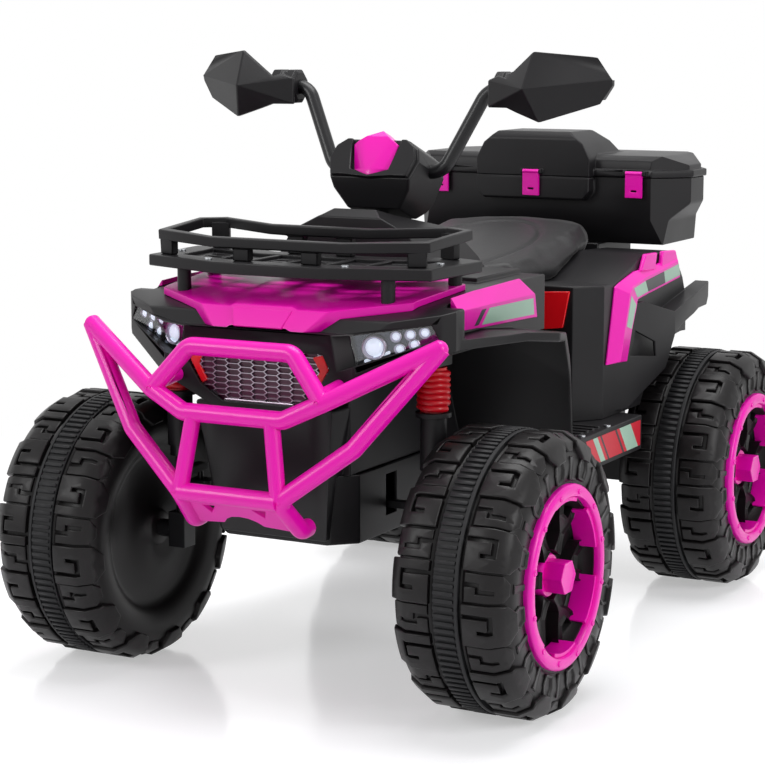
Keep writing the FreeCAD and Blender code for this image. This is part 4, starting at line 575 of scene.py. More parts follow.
# Wheels, drawn in millimetres round X with the outer face towards +X
# Tread stations: out from the band, place along the axle, radius, and the lean and lift of its height
TREAD = [(0, 19, 172, 0, 1), (35, 54, 172, 0.2, 0.98), (51, 68, 164, 0.78, 0.63), (77, 77, 140, 0.98, 0.2)]
TREAD_RADIUS, WHEEL_HEIGHT = 176, 180
HOOKED = [(3, -26), (3, -14), (40, -14), (40, 10), (22, 10), (22, 5), (35, 5), (35, -9), (3, -9), (3, 26),
          (57, 26), (71, 13), (71, -13), (57, -26)]
STEPPED = [(5, -18), (5, -6), (24, -6), (24, 2), (42, 2), (42, 7), (19, 7), (19, -1), (5, -1), (5, 18),
           (50, 18), (62, 8), (62, -8), (50, -18)]


def on_tread(spot):
    """A point (out from the band, round the tyre, height) on the curved tread."""
    out, round_by, height = spot
    for low, high in zip(TREAD, TREAD[1:]):
        if out <= high[0] or high is TREAD[-1]:
            share = (out - low[0]) / (high[0] - low[0])
            along, radius, lean, lift = (a + (b - a) * share for a, b in zip(low[1:], high[1:]))
            break
    turn = round_by / TREAD_RADIUS
    reach = radius + lift * height
    return Vector((along + lean * height, reach * math.cos(turn), reach * math.sin(turn)))


def tread_block(outline, height):
    """One block with its channel, rounded along its top, bent onto the tread."""
    form = slab(outline, -3, height)
    rims = [e for e in form.edges if all(v.co.z > height - CUT_MM for v in e.verts)]
    bmesh.ops.bevel(form, geom=rims, offset=1.5, segments=2, profile=0.5, affect="EDGES",
                    clamp_overlap=True)
    bmesh.ops.triangulate(form, faces=[f for f in form.faces if len(f.verts) > 4])
    for out in (20, 35, 43, 51, 60):
        sliced(form, (out, 0, 0), (1, 0, 0), CUT_MM)
    for step in range(-24, 25, 8):
        sliced(form, (0, step, 0), (0, 1, 0), CUT_MM)
    for vert in form.verts:
        vert.co = on_tread(vert.co)
    return outward(form)


def tread_side(mirror):
    """All the blocks on one side of the band, tall and low in turn."""
    flip = ACROSS if mirror else Matrix()
    start = 23.5 if mirror else 8.5
    tall = mesh_of(moved(tread_block(HOOKED, 8), flip))
    low = mesh_of(moved(tread_block(STEPPED, 4.5), flip))
    return [round_axle(tall, 12, start, TYRE), round_axle(low, 12, start + 15, TYRE)]


def side_lugs():
    """Six-sided lugs with a sunk middle, and narrow bars between them, on the outer wall."""
    rim = [(121, -10), (136, -15), (151, -10), (151, 10), (136, 15), (121, 10)]
    lug = sunk(slab(rim, 68, 79), (4.5, 1.2), 2.4)
    bar = slab([(120, -4), (150, -6), (150, 6), (120, 4)], 68, 78)
    forms = [rounded(moved(form, SIDEWAYS), 1.1, 1, 40) for form in (lug, bar)]
    return [round_axle(form, 12, start, TYRE) for form, start in zip(forms, (8.5, 23.5))]


def make_tyre():
    """The carcass with the tread on its crown and the lugs on its outer wall."""
    half = [(77, 140), (75.5, 152), (68, 164), (61, 169.5), (54, 172), (21, 172), (20, 170.2),
            (18.6, 170.2), (17.6, 172)]
    crown = [(-along, radius) for along, radius in half] + [(-17, 172), (-17, 170), (17, 170), (17, 172)]
    points = [(-72, 6.06), (-72, 22), (-70, 24), (-60, 28), (-60, 100), (-62, 108), (-66, 112), (-74, 122),
              *crown, *half[::-1], (76.4, 128), (74.6, 119), (72, 117), (74, 116), (74, 97), (45, 96),
              (44, 94), (44, 6.06)]
    carcass = spun(points, 120, 30)
    blocks = [mesh for mirror in (False, True) for mesh in tread_side(mirror)]
    return smooth(merged(carcass, *blocks, *side_lugs()), 38)


def make_spokes():
    """Forked spokes with raised rims over the floor of the dish."""
    half = [(30, 11), (44, 7.5), (56, 7), (70, 18), (84, 26), (97, 26), (97, 16)]
    outline = [(out, -wide) for out, wide in half] + [(78, -8), (78, 8)] + half[::-1]
    spoke = rounded(moved(sunk(slab(outline, 43, 61), (2.6,), 4), SIDEWAYS), 0.9, 2, 20)
    return round_axle(spoke, 6, 0, TYRE)


def on_circle(radius, degrees):
    """Points on a circle at whole degrees."""
    return [(radius * math.cos(turn), radius * math.sin(turn)) for turn in map(math.radians, degrees)]


def make_trim():
    """The bead ring with its bosses, the wall blocks between the spokes, and the hub cap."""
    ring = [(73, 100), (78.6, 99.6), (82.4, 101), (83.4, 103), (83.4, 110.4), (82.8, 112.6), (80.6, 115.4),
            (79, 116), (73, 116), (73, 100)]
    ring = spun(ring, 120, 34)
    boss = [(82, 3.8), (84, 3.8), (85, 3), (85, 1.4), (84.2, 0)]
    boss = spun(boss, 16, 34, Matrix.Translation((0, 106.8, 0)))
    wall = on_circle(99.6, range(-19, 20, 2)) + on_circle(94.4, range(19, -20, -2))
    block = pressed(wall, 49, 79, SIDEWAYS, 1.4, 2, 40)
    nut = sunk(slab(on_circle(22.5, range(0, 360, 60)), 44, 83), (5.5,), 2.4)
    cap = rounded(moved(nut, SIDEWAYS), 1.8, 3, 40)
    base = spun([(43, 29), (54, 28), (57, 26), (57, 20)], 60, 34)
    return joined(ring, round_axle(boss, 12, 15, PINK), round_axle(block, 6, 30, PINK), cap, base)


def make_band():
    """The rubber band with its cross ribs and the plain strip beside them."""
    profile = [(-16.8, 170), (16.8, 170), (16.8, 177.6), (15.6, 178.6), (12.6, 178.6), (12, 176.4),
               (-15.6, 176.4), (-16.8, 175.4), (-16.8, 170)]
    base = spun(profile, 120, 34)
    turn = Matrix(((1, 0, 0, 0), (0, 0, 1, 0), (0, -1, 0, 0), (0, 0, 0, 1)))
    rib = [(-15.6, -2.3), (11.2, -2.3), (11.2, 2.3), (-15.6, 2.3)]
    rib = pressed(rib, 175.6, 179.8, turn, 0.9, 1, 40)
    return joined(base, round_axle(rib, 120, 0, BAND))


# Where each wheel's middle is, along X and Y, and how far it is turned about Z
WHEELS = {"front_left": (295, -386, 0), "front_right": (-295, -386, 180), "rear_left": (272, 386, 0),
          "rear_right": (-272, 386, 180)}


def make_wheels():
    parts = {"tyre": (merged(make_tyre(), make_spokes()), TYRE, "tyre_plastic"),
             "traction_band": (mesh_of(make_band()), BAND, "band_rubber"),
             "wheel_trim": (mesh_of(make_trim()), PINK, "pink_plastic")}
    for corner, (x, y, turn) in WHEELS.items():
        heading = Matrix.Rotation(math.radians(turn), 4, "Z")
        place = IN_METRES @ Matrix.Translation((x, y, WHEEL_HEIGHT)) @ heading
        for part, (mesh, material, slot) in parts.items():
            copy = mesh.copy()
            copy.transform(place)
            show(f"{corner}_{part}_dressed", copy, material, f"{corner}_{part}")


# Grille: chromed cells over a plate painted dark for the shade in the cells, with red ends; a cell's tip,
# corner and half height
GRILLE = [(-53, 381), (53, 381), (87, 401), (107, 434), (97, 455), (-97, 455), (-107, 434), (-87, 401)]
GRILLE_CELL = (11.6, 7.2, 3.7)
GRILLE_LOW, GRILLE_FACE = 376, -491.5


def grille_cell():
    """One six-sided cell whose walls rise to a flat-topped ridge."""
    tip, corner, half = GRILLE_CELL
    ring = [(tip, 0), (corner, half), (-corner, half), (-tip, 0), (-corner, -half), (corner, -half)]
    levels = [[(x * wide, z * high, rise) for x, z in ring] for wide, high, rise in
              ((1, 1, 3.4), (0.92, 0.87, 3.4), (0.86, 0.77, -0.5))]
    form = bmesh.new()
    rows = [[form.verts.new(spot) for spot in level] for level in levels]
    for near, far in zip(rows, rows[1:]):
        bridged(form, near, far)
    return mesh_of(form)


def trimmed(form, outline):
    """Cuts a flat form to a convex outline, given anticlockwise."""
    for here, there in zip(outline, outline[1:] + outline[:1]):
        run = Vector(there) - Vector(here)
        sliced(form, (*here, 0), (run.y, -run.x, 0), CUT_MM, drop=True)
    return form


def make_grille():
    tip, corner, half = GRILLE_CELL
    spots = []
    for column in range(-6, 7):
        for row in range(13):
            rise = GRILLE_LOW + row * 2 * half + (half if column % 2 else 0)
            spots.append((column * (tip + corner), rise, 0))
    cells = mesh_of(trimmed(joined(on_spots(grille_cell(), spots, CHROME)), GRILLE))
    # The plate behind the cells takes the painted shade of the cells' recesses
    plate = painted(mesh_of(slab(GRILLE, -1.6, 0)), 1)
    red = [(84, 404), (101, 433), (93, 451), (78, 447), (88, 430), (76, 408)]
    ends = [painted(pressed(red, -1, 4.2, to_side(side), 1.4, 2, 30), 2) for side, _ in SIDES]
    strip = [(-50, 383.5), (50, 383.5), (51, 387), (-51, 387)]
    strip = painted(pressed(strip, 0, 4.6, Matrix(), 1.2, 2, 30), 0)
    form = moved(joined(cells, plate, strip, *ends), Matrix.Translation((0, GRILLE_FACE, 0)) @ FORWARD)
    mesh = mesh_of(moved(form, IN_METRES))
    show("front_grille_dressed", mesh, [CHROME, CELL_SHADE, RED], "front_grille")


# Headlights, drawn on a plane sunk in the nose's angled face: along it, up, and out of it
LAMP = [(4.8, 432), (107.4, 471), (96.7, 490), (-4.8, 476)]
LAMP_RUN = Vector((101, 36, 0)).normalized()
LAMP_FACE = Matrix(((LAMP_RUN.x, 0, LAMP_RUN.y, 124.8), (LAMP_RUN.y, 0, -LAMP_RUN.x, -475.6), (0, 1, 0, 0),
                    (0, 0, 0, 1)))
# The nose's faces round a lamp: a point and the way each looks
NOSE_FACES = (((0, -499.4, 0), (0, -1, 0)), ((136, -500, 0), (60, -92, 0)))


def lamp_funnel(closed):
    """The space in front of a lamp, which opens towards the middle of the nose."""
    rear = [(along, up, -0.8) for along, up in LAMP]
    fore = [(along - 53 if along < 50 else along + 6, up, 45) for along, up in LAMP]
    return moved(lofted([rear, fore], closed), LAMP_FACE)


def lamp_walls():
    """The pocket's walls, up to the nose's faces."""
    form = lamp_funnel(False)
    for spot, normal in NOSE_FACES:
        sliced(form, spot, normal, CUT_MM, drop=True)
    item = helper(mesh_of(form))
    wall = item.modifiers.new("wall", "SOLIDIFY")
    wall.thickness = 1.6
    wall.offset = 0
    return settled(item)


def make_front_body():
    """The front body with a pocket round each headlight."""
    form = welded("front_body")
    walls = []
    for side, _ in SIDES:
        place = IN_METRES @ to_side(side)
        form = carved(form, moved(lamp_funnel(True), place))
        walls.append(mesh_of(moved(joined(lamp_walls()), place)))
    mesh = merged(rounded(form, 3 * MM), *walls)
    show("front_body_moulding", mesh, BLACK, "front_body")


def lamp_dish():
    """The black rim and the smoked bowl behind the cover."""
    form = sunk(slab(LAMP, -12, -0.6), (3.4, 1.4), 9.6)
    for face in form.faces:
        middle = face.calc_center_median().z
        rim = middle > -0.7 or face.normal.z < 0.2
        bowl_wall = middle < -2 and max(v.co.z for v in face.verts) > -1 and len(face.verts) == 4
        face.material_index = 1 if rim and not bowl_wall else 0
    return mesh_of(form)


def lamp_elements():
    """The projector, its light bar, and five small elements in two rows, each in a bright cup."""
    ring = [(-11, 15.2), (-3.4, 15.8), (-2.8, 14.8), (-3.4, 13.4), (-7.5, 11.6), (-8, 10)]
    dome = [(-9, 11.4), (-6.2, 10.8), (-4.2, 8.4), (-3.0, 4.6), (-2.6, 0)]
    spot = Matrix.Translation((25, 460, 0)) @ OUT_OF_PLANE
    parts = [painted(spun(points, 40, 40, spot), index) for points, index in ((ring, 3), (dome, 2))]
    cup = turned([(-11, 6.4), (-4, 7.6), (-3.6, 7), (-8, 4.6), (-9, 3.4)], 14)
    bead = turned([(-9.5, 5.2), (-6.4, 4.9), (-4.6, 3.4), (-4, 0)], 12)
    rows = [(52, 474, 0), (70, 476.5, 0), (88, 479.5, 0), (57, 458.5, 0), (75, 464.5, 0)]
    for form, finish, index in ((cup, CHROME, 3), (bead, OPAL, 2)):
        copies = on_spots(mesh_of(moved(form, OUT_OF_PLANE)), rows, finish)
        parts.append(painted(smooth(copies, 40), index))
    bar = [(13, 440.5), (45, 452.5), (44, 456), (12, 444)]
    return parts + [painted(pressed(bar, -11, -6, Matrix(), 0.9, 2, 30), 2)]


def make_headlights():
    dishes = []
    for side, _ in SIDES:
        dish = mesh_of(moved(joined(lamp_dish(), *lamp_elements()), LAMP_FACE))
        dishes.append(sided(dish, side))
        cover = sided(pressed(LAMP, -0.5, 1.4, LAMP_FACE, 0.6, 2, 30), side)
        show(f"{side}_headlight_cover", cover, LENS, f"{side}_headlight_lens")
    shades = [BOWL, BLACK, OPAL, CHROME]
    show("headlight_bowls", merged(*dishes), shades, "headlight_reflectors")


# Side panels with films
def film(outline, face, rise, index, side):
    """A film on an upright side face, by its outline (along, up) in millimetres."""
    mesh = mesh_of(moved(slab(outline, face - 0.5, face + rise), SIDEWAYS))
    return painted(sided(mesh, side), index)


def folded(stations, back):
    """A panel folded along a crease: lower edge, crease and upper edge at each station, over a flat back."""
    rows = []
    for lower, crease, upper in stations:
        rows.append([(back, *lower[1:]), lower, crease, upper, (back, *upper[1:])])
    return rounded(lofted(rows), 1.2, 2, 12)


def facet_film(near, far, index):
    """A film on the facet below the crease, between two stations, with a margin above and below it."""
    form = bmesh.new()
    corners = [Vector(lower).lerp(Vector(crease), share) for (lower, crease, _), share in
               ((near, 0.14), (near, 0.84), (far, 0.84), (far, 0.14))]
    out = (corners[1] - corners[0]).cross(corners[3] - corners[0]).normalized()
    out = out if out.x > 0 else -out
    skins = [[form.verts.new(corner + out * rise) for corner in corners] for rise in (-0.5, 0.3)]
    form.faces.new(skins[0])
    form.faces.new(skins[1])
    bridged(form, *skins)
    return painted(mesh_of(outward(form)), index)


def folded_piece(name, side, stations, back, films, *extras):
    """A folded panel with its films, shown on its side."""
    skins = [facet_film(stations[at], stations[at + 1], index) for at, index in films]
    mesh = sided(merged(folded(stations, back), *extras, *skins), side)
    shades = [PINK, GREEN_FILM, DARK_FILM]
    show(f"{side}_{name}_dressed", mesh, shades, f"{side}_{name}")


# Stations of the panels: lower edge, crease and upper edge; and how far out their flat backs are
FENDER_BACK, STRIP_BACK = 214.2, 230.2
FENDER = [((219, -387, 474), (226, -388, 501), (215, -388, 517)),
          ((219, -334, 472), (226, -316, 500.5), (215, -322, 520)),
          ((219, -322, 472), (226, -304, 500.5), (215, -311, 520)),
          ((219, -312, 471), (226, -294, 500.5), (215, -302, 520)),
          ((219, -146, 466), (226, -166, 499.5), (215, -190, 522)),
          ((219, -135, 465), (226, -158, 499), (215, -186, 522))]
STRIP = [((237, 144, 370), (243, 104, 375), (233, 76, 373)),
         ((239, 157, 415), (243, 121, 425), (233, 91, 430)),
         ((240.5, 170, 448), (243, 137, 470), (233, 104, 482)),
         ((238, 180, 457), (241, 152, 479), (233, 122, 487)),
         ((234, 232, 460), (240, 200, 486), (233, 176, 498)),
         ((234, 300, 466), (240, 276, 493), (233, 262, 500)),
         ((234, 363, 472), (240, 337, 499), (233, 345, 509))]


def make_side_panels():
    tabs = [[(194, 497), (212, 520.5), (258, 519), (250, 494)],
            [(275, 494), (281, 519), (334, 516), (346, 498)]]
    for side, _ in SIDES:
        folded_piece("fender_panel", side, FENDER, FENDER_BACK, [(1, 2), (3, 1)])
        tips = [pressed(tab, STRIP_BACK, 237, SIDEWAYS, 2.2, 2, 30) for tab in tabs]
        folded_piece("rear_panel", side, STRIP, STRIP_BACK, [(1, 1), (3, 1), (4, 2), (5, 1)], *tips)


# Footboards: how far out and up their films lie, and how far a film leans back over its height
BOARD_FACE, FILM_LOW, FILM_HIGH, FILM_LEAN = 265, 251.5, 288.5, 30


def leaning(low, high):
    """A film's outline between two places along its lower edge."""
    upper = [(place - FILM_LEAN, FILM_HIGH) for place in (high, low)]
    return [(low, FILM_LOW), (high, FILM_LOW), *upper]


def make_footboards():
    red = [(-42, FILM_LOW), (129, FILM_LOW), (129, FILM_HIGH), (-72, FILM_HIGH)]
    bars = [(-18, -2, 2), (8, 13, 3), (78, 120, 2), (62, 68, 3)]
    for side, _ in SIDES:
        films = [film(red, BOARD_FACE, 0.25, 1, side)]
        films += [film(leaning(low, high), BOARD_FACE, 0.45, index, side) for low, high, index in bars]
        soften(f"{side}_footboard", [BLACK, RED_FILM, GREEN_FILM, DARK_FILM], "black_plastic", 2, *films)


# Hood: half the width of its raised middle at one place along it, and how fast that closes in
CREASE_FOOT, CREASE_HEAD, CREASE_LIFT, CREASE_Y, CREASE_SLOPE = 62, 55, 3.2, -400, 0.16


def make_hood():
    """The hood with a raised middle between two creases that close in towards the lip."""
    form = welded("hood_panel")
    for half in (CREASE_FOOT, CREASE_HEAD):
        for _, sign in SIDES:
            sliced(form, Vector((sign * half, CREASE_Y, 0)) * MM, (sign, -CREASE_SLOPE, 0), CUT_M)
    for vert in form.verts:
        inside = CREASE_HEAD * MM + CREASE_SLOPE * (vert.co.y - CREASE_Y * MM) - abs(vert.co.x)
        if inside > -BESIDE_CUT:
            vert.co.z += CREASE_LIFT * MM
    place = IN_METRES @ on_face((0, -497, 477), (0, -482, 503))
    lip = pressed([(-35, 2), (35, 2), (43, 27), (-43, 27)], -1, 3.2, place, 1.4 * MM)
    mesh = merged(rounded(form, 1.6 * MM, 2, 12), lip)
    show("hood_panel_dressed", mesh, PINK, "hood_panel")


def make_springs():
    """Close red coils on a red sleeve."""
    for side, sign in SIDES:
        empty = bpy.data.meshes.new("coil")
        coil = with_nodes(empty, COIL, {
            "Turns": 6.5, "Radius": 17.4, "Height": 48, "Wire": 4.3, "Finish": RED_STEEL})
        sleeve = spun([(0.5, 10), (0.5, 17), (57, 17), (57, 10)], 40, 40, OUT_OF_PLANE)
        coil.transform(Matrix.Translation((0, 0, 4.8)))
        form = moved(joined(smooth(coil, 50), sleeve), Matrix.Translation((190, -386, 372.2)))
        mesh = sided(mesh_of(outward(form)), side)
        item = show(f"{side}_spring_coil", mesh, RED_STEEL, f"{side}_spring")
        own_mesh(item)


# Seat: stations (along, half width, drop of the top), its sloping base, and the ledge its sides rest on
SEAT = [(-72, 60, 23), (-50, 72, 12), (-10, 95, 3), (28, 126, 0), (80, 140, 0), (122, 145, 0),
        (195, 146, 0), (262, 133, 0), (305, 117, 8), (336, 98, 24)]
LEDGE = [(27, 489), (110, 486), (215, 520), (345, 514)]
SEAT_HEIGHT, LEDGE_HALF = 66, 117
# The cover's cloth: voxel, frames, pressure, and how far it may move, in millimetres where a length
COVER_VOXEL, COVER_FRAMES, COVER_PRESSURE, COVER_LIMIT = 5, 20, 4, 8
SEAM_WIDTH = SEAM_DEPTH = 3.4


def seat_base(y):
    return 460 + (y - 105) * 0.179


def ledge_top(y):
    """The top of the rear body's side at a place along it; the sloping base ahead of that."""
    if y < LEDGE[0][0]:
        return seat_base(y)
    for (low_y, low), (high_y, high) in zip(LEDGE, LEDGE[1:]):
        if y <= high_y:
            break
    return low + (high - low) * (y - low_y) / (high_y - low_y)


def seat_block():
    """The foam's form, a little small, before the cover is drawn over it."""
    rows = []
    for y, half, drop in SEAT:
        foot, top = seat_base(y) + 1, seat_base(y) + SEAT_HEIGHT - drop
        shelf = max(foot, ledge_top(y) + 1)
        rise = top - shelf
        ring = [(min(112, half - 14), foot), (min(113, half - 10), shelf), (half - 7, shelf + 1),
                (half - 3, shelf + 0.3 * rise), (half - 7, shelf + 0.62 * rise),
                (half - 22, shelf + 0.86 * rise), (half * 0.52, top - 2), (0, top)]
        rows.append([(x, y, z) for x, z in ring + mirrored(ring[:-1])])
    return mesh_of(moved(lofted(rows), IN_METRES))


def inflated(mesh):
    """A cover swollen by cloth simulation, with no point moved further than the limit."""
    item = helper(mesh)
    remesh = item.modifiers.new("voxels", "REMESH")
    remesh.mode = "VOXEL"
    remesh.voxel_size = COVER_VOXEL * MM
    mesh = settled(item)
    rest = [vert.co.copy() for vert in mesh.vertices]
    item = helper(mesh)
    cloth = item.modifiers.new("cover", "CLOTH")
    cloth.settings.use_pressure = True
    cloth.settings.uniform_pressure_force = COVER_PRESSURE
    cloth.settings.effector_weights.gravity = 0
    cloth.settings.quality = 5
    cloth.point_cache.frame_start, cloth.point_cache.frame_end = 1, COVER_FRAMES
    for frame_number in range(1, COVER_FRAMES + 1):
        scene.frame_set(frame_number)
    swollen = settled(item)
    scene.frame_set(1)
    limit = COVER_LIMIT * MM
    for vert, start in zip(swollen.vertices, rest):
        move = vert.co - start
        if move.length > limit:
            vert.co = start + move * (limit / move.length)
    return swollen


def seam_gap(x, y):
    """How far a point is from the seam round the seat's top panel, a teardrop in plan, in millimetres."""
    half = 54 + 0.17 * (y + 62)
    share = math.hypot(x / half, (y - 92) / 154)
    return (share - 1) * half


def make_seat():
    item = helper(inflated(seat_block()))
    even = item.modifiers.new("even", "SMOOTH")
    even.factor, even.iterations = 0.5, 6
    fine = item.modifiers.new("fine", "SUBSURF")
    fine.levels = fine.render_levels = 1
    mesh = settled(item)
    for vert, normal in zip(mesh.vertices, [tuple(entry.vector) for entry in mesh.vertex_normals]):
        x, y, z = vert.co / MM
        z -= SEAM_DEPTH * max(0, normal[2]) * math.exp(-(seam_gap(x, y) / SEAM_WIDTH) ** 2)
        if z < ledge_top(y) + 0.6:
            x = max(-LEDGE_HALF, min(LEDGE_HALF, x))
        vert.co = Vector((x, y, max(z, seat_base(y) + 0.6))) * MM
    mesh.shade_smooth()
    item = show("seat_cushion", mesh, VINYL, "seat")


# Bull bar: the skid plate's slope and outlines, the round tips, and where the feet are cut, in millimetres
SKID_TOE, SKID_FOOT = (0, -568.5, 280), (0, -524, 236)
SKID_HALF = [(0, 22), (12, 20), (22, 14), (29, 5), (76, 0), (70, 56)]
SKID_HOLE = [(27, 42), (46, 42), (39, 26)]
BAR_TIP, BAR_ELBOW, TIP_RADIUS = (255, -492, 470), (123, -550, 401), 11.5
FOOT_TOP, FOOT_END = 264, -508


def skid_plate():
    """The plate below the bar, arched in the middle and with two three-cornered holes."""
    outline = SKID_HALF + mirrored(SKID_HALF[1:])
    holes = [SKID_HOLE, [(-across, up) for across, up in SKID_HOLE]]
    return rounded(moved(pierced(outline, holes, 0, 6), on_face(SKID_FOOT, SKID_TOE)), 1.2)


def bar_form():
    """The bar's own form, with the feet cut short where they turn back."""
    form = welded("bull_bar")
    feet = [face for face in form.faces if max(vert.co.z for vert in face.verts) < FOOT_TOP * MM]
    parts = feet + list({part for face in feet for part in (*face.verts, *face.edges)})
    sliced(form, (0, FOOT_END * MM, 0), (0, 1, 0), CUT_M, parts)
    heels = [face for face in form.faces if min(vert.co.y for vert in face.verts) > (FOOT_END - 0.1) * MM
             and max(vert.co.z for vert in face.verts) < FOOT_TOP * MM]
    bmesh.ops.delete(form, geom=heels, context="FACES")
    bmesh.ops.holes_fill(form, edges=[edge for edge in form.edges if edge.is_boundary])
    return form


def make_bull_bar():
    """The bar with round tips, bolt plugs and its skid plate."""
    plug = [(-2, 3.8), (0.6, 3.8), (1.2, 3), (-0.6, 2.2), (-0.8, 0)]
    plug = spun(plug, 14, 40, FORWARD @ OUT_OF_PLANE)
    spots = [(sign * x, y, z) for _, sign in SIDES for x, y, z in ((121, -561, 403), (76, -576, 279))]
    extras = [on_spots(plug, spots, PINK), skid_plate()]
    lean = (Vector(BAR_TIP) - Vector(BAR_ELBOW)).to_track_quat("X", "Z").to_matrix().to_4x4()
    dome = [(TIP_RADIUS * (math.sin(turn) - 0.35), TIP_RADIUS * math.cos(turn))
            for turn in (0, 0.4, 0.8, 1.2, math.pi / 2)]
    for side, _ in SIDES:
        extras.append(spun(dome, 24, 60, to_side(side) @ Matrix.Translation(BAR_TIP) @ lean))
    extra = mesh_of(moved(joined(*extras), IN_METRES))
    mesh = merged(rounded(bar_form(), 1.5 * MM), extra)
    show("bull_bar_moulding", mesh, PINK, "bull_bar")


# Rack tray: the opening inside its rim, and the slots of the panel that fills it
TRAY_HALF = [(61, -442), (169, -410), (178, -320), (84, -350)]
TRAY_SLOTS = [[(64, -424), (100, -413), (100, -404), (64, -414)],
              [(112, -409), (154, -396), (154, -386), (112, -398)],
              [(64, -398), (100, -389), (100, -377), (64, -384)],
              [(112, -385), (158, -373), (159, -361), (112, -372)],
              [(96, -360), (160, -349), (161, -336), (104, -349)],
              [(10, -428), (46, -428), (46, -416), (10, -416)],
              [(10, -406), (46, -406), (46, -394), (10, -394)],
              [(10, -384), (46, -384), (46, -366), (10, -366)]]
TRAY_RIBS = (-106, -55, 0, 55, 106)


def tray_rib(x):
    """A raised rib along the panel, shorter away from the middle."""
    front, rear = -436 + abs(x) * 0.25, -352 + abs(x) * 0.12
    return pressed([(x - 4, front), (x + 4, front), (x + 4, rear), (x - 4, rear)], 548, 555, Matrix(), 1.6)


def make_rack_tray():
    """The tray's rim round a slotted panel with raised ribs."""
    holes = [[(sign * x, y) for x, y in slot] for slot in TRAY_SLOTS for _, sign in SIDES]
    panel = rounded(pierced(TRAY_HALF + mirrored(TRAY_HALF), holes, 544, 551), 1.2)
    mesh = mesh_of(moved(joined(panel, *map(tray_rib, TRAY_RIBS)), IN_METRES))
    soften("rack_tray", BLACK, "black_plastic", 2, mesh)


# Hand guards: the bar they clamp, the narrow neck at one place along it, and its lowest and highest point
GUARD_BAR, NECK, NECK_SPAN = (-125, 768), 180, (744, 782)
CLAMP = [(152, 10), (152, 20), (156, 25), (167, 25), (169, 22.5), (175, 22.5), (177, 25), (190, 25),
         (194, 20), (194, 10)]


def make_guards():
    """Guards drawn in to a neck beside an eight-sided clamp."""
    for side, sign in SIDES:
        node = f"{side}_hand_guard"
        form = welded(node)
        sliced(form, (sign * NECK * MM, 0, 0), (1, 0, 0), CUT_M)
        for vert in form.verts:
            if abs(abs(vert.co.x) - NECK * MM) < BESIDE_CUT:
                vert.co.z = min(max(vert.co.z, NECK_SPAN[0] * MM), NECK_SPAN[1] * MM)
        place = Matrix.Translation((0, *GUARD_BAR)) @ Matrix.Rotation(math.pi / 8, 4, "X")
        clamp = sided(rounded(moved(turned(CLAMP, 8), place), 1, 2, 20), side)
        mesh = merged(rounded(form, 2 * MM), clamp)
        show(f"{node}_moulding", mesh, BLACK, node)


def make_headstock():
    """The headstock cover with raised shoulders round the cap."""
    half = [(0, -1), (30, 1.5), (58, 1.5), (65, 27), (59.5, 46), (45, 57), (37, 57), (36.5, 49), (28.5, 10),
            (0, 1.5)]
    place = IN_METRES @ on_face((0, -206, 649), (0, -175, 699))
    rim = pressed(half + mirrored(half[1:-1]), -2, 7, place, 2 * MM)
    soften("headstock_cover", BLACK, "black_plastic", 3, rim)


make_wheels()
make_front_body()
make_rack_tray()
make_grille()
make_headlights()
make_side_panels()
make_footboards()
make_hood()
make_springs()
make_seat()
make_bull_bar()
make_guards()
make_headstock()

# Solids whose own form is right: material, slot, and the radius of each one's edges in millimetres
MOULDINGS = (
    (BLACK, "black_plastic", {
        "rear_body": 3, "console_cover": 3, "storage_box": 3.5, "box_lid": 3.5, "rack_rail": 2,
        "underbody_pan": 3, "battery_and_controller": 2, "gear_motors": 2, "left_strut": 1,
        "right_strut": 1, "direction_switch": 1.2, "foot_pedal": 2, "front_frame": 2}),
    (PINK, "pink_plastic", {"headstock_cap": 1, "left_latch": 1, "centre_latch": 1, "right_latch": 1}),
    (COATED, "black_steel", {
        "handlebar": 1, "left_knuckle": 1, "right_knuckle": 1, "tie_rod": 1, "steering_column": 0.8}),
    (GRIP, "grip_rubber", {"hand_grips": 3}),
    (RED, "red_plastic", {"under_seat_panels": 1, "power_button": 1.2, "horn_button": 1.2}),
    (ZINC, "bright_steel", {"rear_axle": 0.6, "body_screws": 0.8}),
)
for material, slot, widths in MOULDINGS:
    for node, width in widths.items():
        soften(node, material, slot, width)


# Studio: pale floor, white surround, soft lamps, and the photograph's viewpoint
# In metres, the floor's radius and where its shadow starts and ends to fade; the light that is not seen
FLOOR_RADIUS, SHADOW_REACH, HIDDEN_LIGHT = 40, (0.75, 1.7), 0.32


def seen_rays(tree):
    """Rays that see the background: from the camera, in reflections and through glass."""
    path = add(tree, "ShaderNodeLightPath")
    direct = add(tree, "ShaderNodeMath", {"operation": "ADD"},
                 {0: path.outputs["Is Camera Ray"], 1: path.outputs["Is Transmission Ray"]})
    return add(tree, "ShaderNodeMath", {"operation": "ADD", "use_clamp": True},
               {0: direct.outputs[0], 1: path.outputs["Is Glossy Ray"]}).outputs[0]


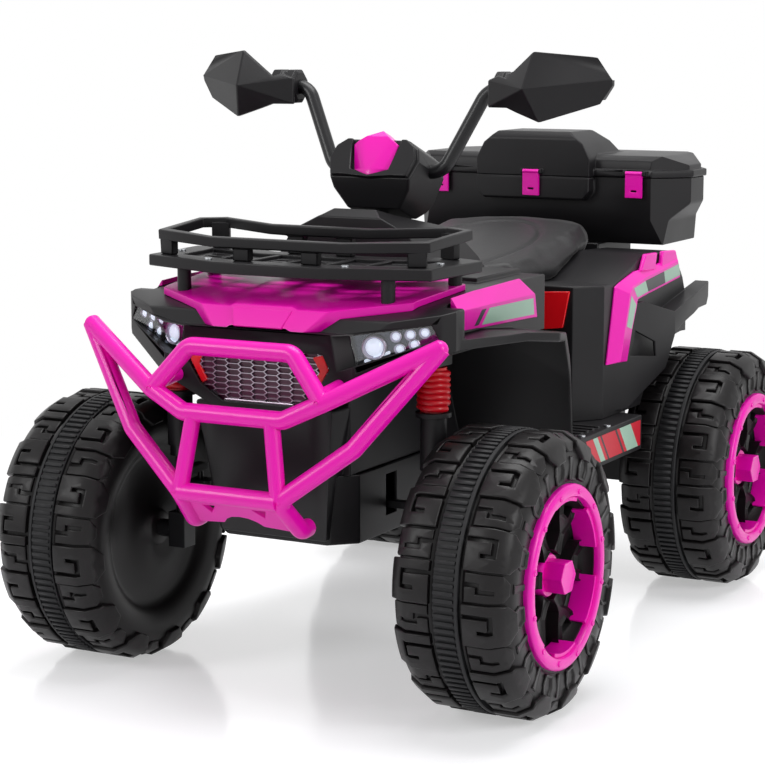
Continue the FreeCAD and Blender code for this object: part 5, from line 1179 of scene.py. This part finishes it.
def make_floor():
    """A white sweep that keeps the shadow near the vehicle and runs out to plain white."""
    form = bmesh.new()
    bmesh.ops.create_circle(form, cap_ends=True, segments=96, radius=FLOOR_RADIUS)
    mesh = mesh_of(form)
    item = placed("floor", mesh)
    material, tree, shader, place = begin("white_studio_floor", {
        "Base Color": linear("EDEDF0"), "Roughness": 0.14, "Specular IOR Level": 0.5})
    lift = add(tree, "ShaderNodeEmission", {"Strength": 0.42})
    lit = add(tree, "ShaderNodeAddShader", {}, {0: shader.outputs[0], 1: lift.outputs[0]})
    white = add(tree, "ShaderNodeEmission", {"Strength": 1})
    away = add(tree, "ShaderNodeVectorMath", {"operation": "LENGTH"}, {0: place})
    near, far = SHADOW_REACH
    fade = add(tree, "ShaderNodeMapRange",
               {"interpolation_type": "SMOOTHSTEP", "From Min": near, "From Max": far},
               {"Value": away.outputs["Value"]})
    sweep = add(tree, "ShaderNodeMixShader", {},
                {0: fade.outputs["Result"], 1: lit.outputs[0], 2: white.outputs[0]})
    shown = add(tree, "ShaderNodeMixShader", {},
                {0: seen_rays(tree), 1: shader.outputs[0], 2: sweep.outputs[0]})
    tree.links.new(shown.outputs[0], tree.nodes["Material Output"].inputs["Surface"])
    mesh.materials.append(material)


def make_world():
    world = bpy.data.worlds.new("white_surround")
    scene.world = world
    world.use_nodes = True
    tree = world.node_tree
    back = tree.nodes["Background"]
    back.inputs["Color"].default_value = linear("FFFFFF")
    tree.links.new(ranged(tree, seen_rays(tree), HIDDEN_LIGHT, 1.0), back.inputs["Strength"])


def aimed(item, spot, target):
    """A lamp or camera at a spot, looking at a target."""
    item.location = spot
    item.rotation_euler = (Vector(target) - Vector(spot)).to_track_quat("-Z", "Y").to_euler()
    return item


def make_lamp(name, spot, aim, size, power):
    light = bpy.data.lights.new(name, "AREA")
    light.shape = "RECTANGLE"
    light.size, light.size_y = size
    light.energy = power
    aimed(placed(name, light), spot, aim)


def make_camera():
    lens = bpy.data.cameras.new("viewpoint")
    lens.sensor_width = 36
    lens.lens = 104.93
    scene.camera = aimed(placed("viewpoint", lens), (1.43855, -2.85098, 0.84454),
                         (-0.08978, 0.00041, 0.33532))


make_floor()
make_world()
make_lamp("top_softbox", (0.2, 0.1, 2.9), (0, 0, 0.3), (1.5, 1.9), 58)
make_lamp("front_softbox", (-1.9, -3.2, 2.0), (0, 0, 0.35), (1.0, 1.3), 40)
make_lamp("side_softbox", (3.1, -0.9, 1.7), (0, 0, 0.35), (0.9, 1.4), 42)
make_camera()
scene.view_settings.view_transform = "Standard"
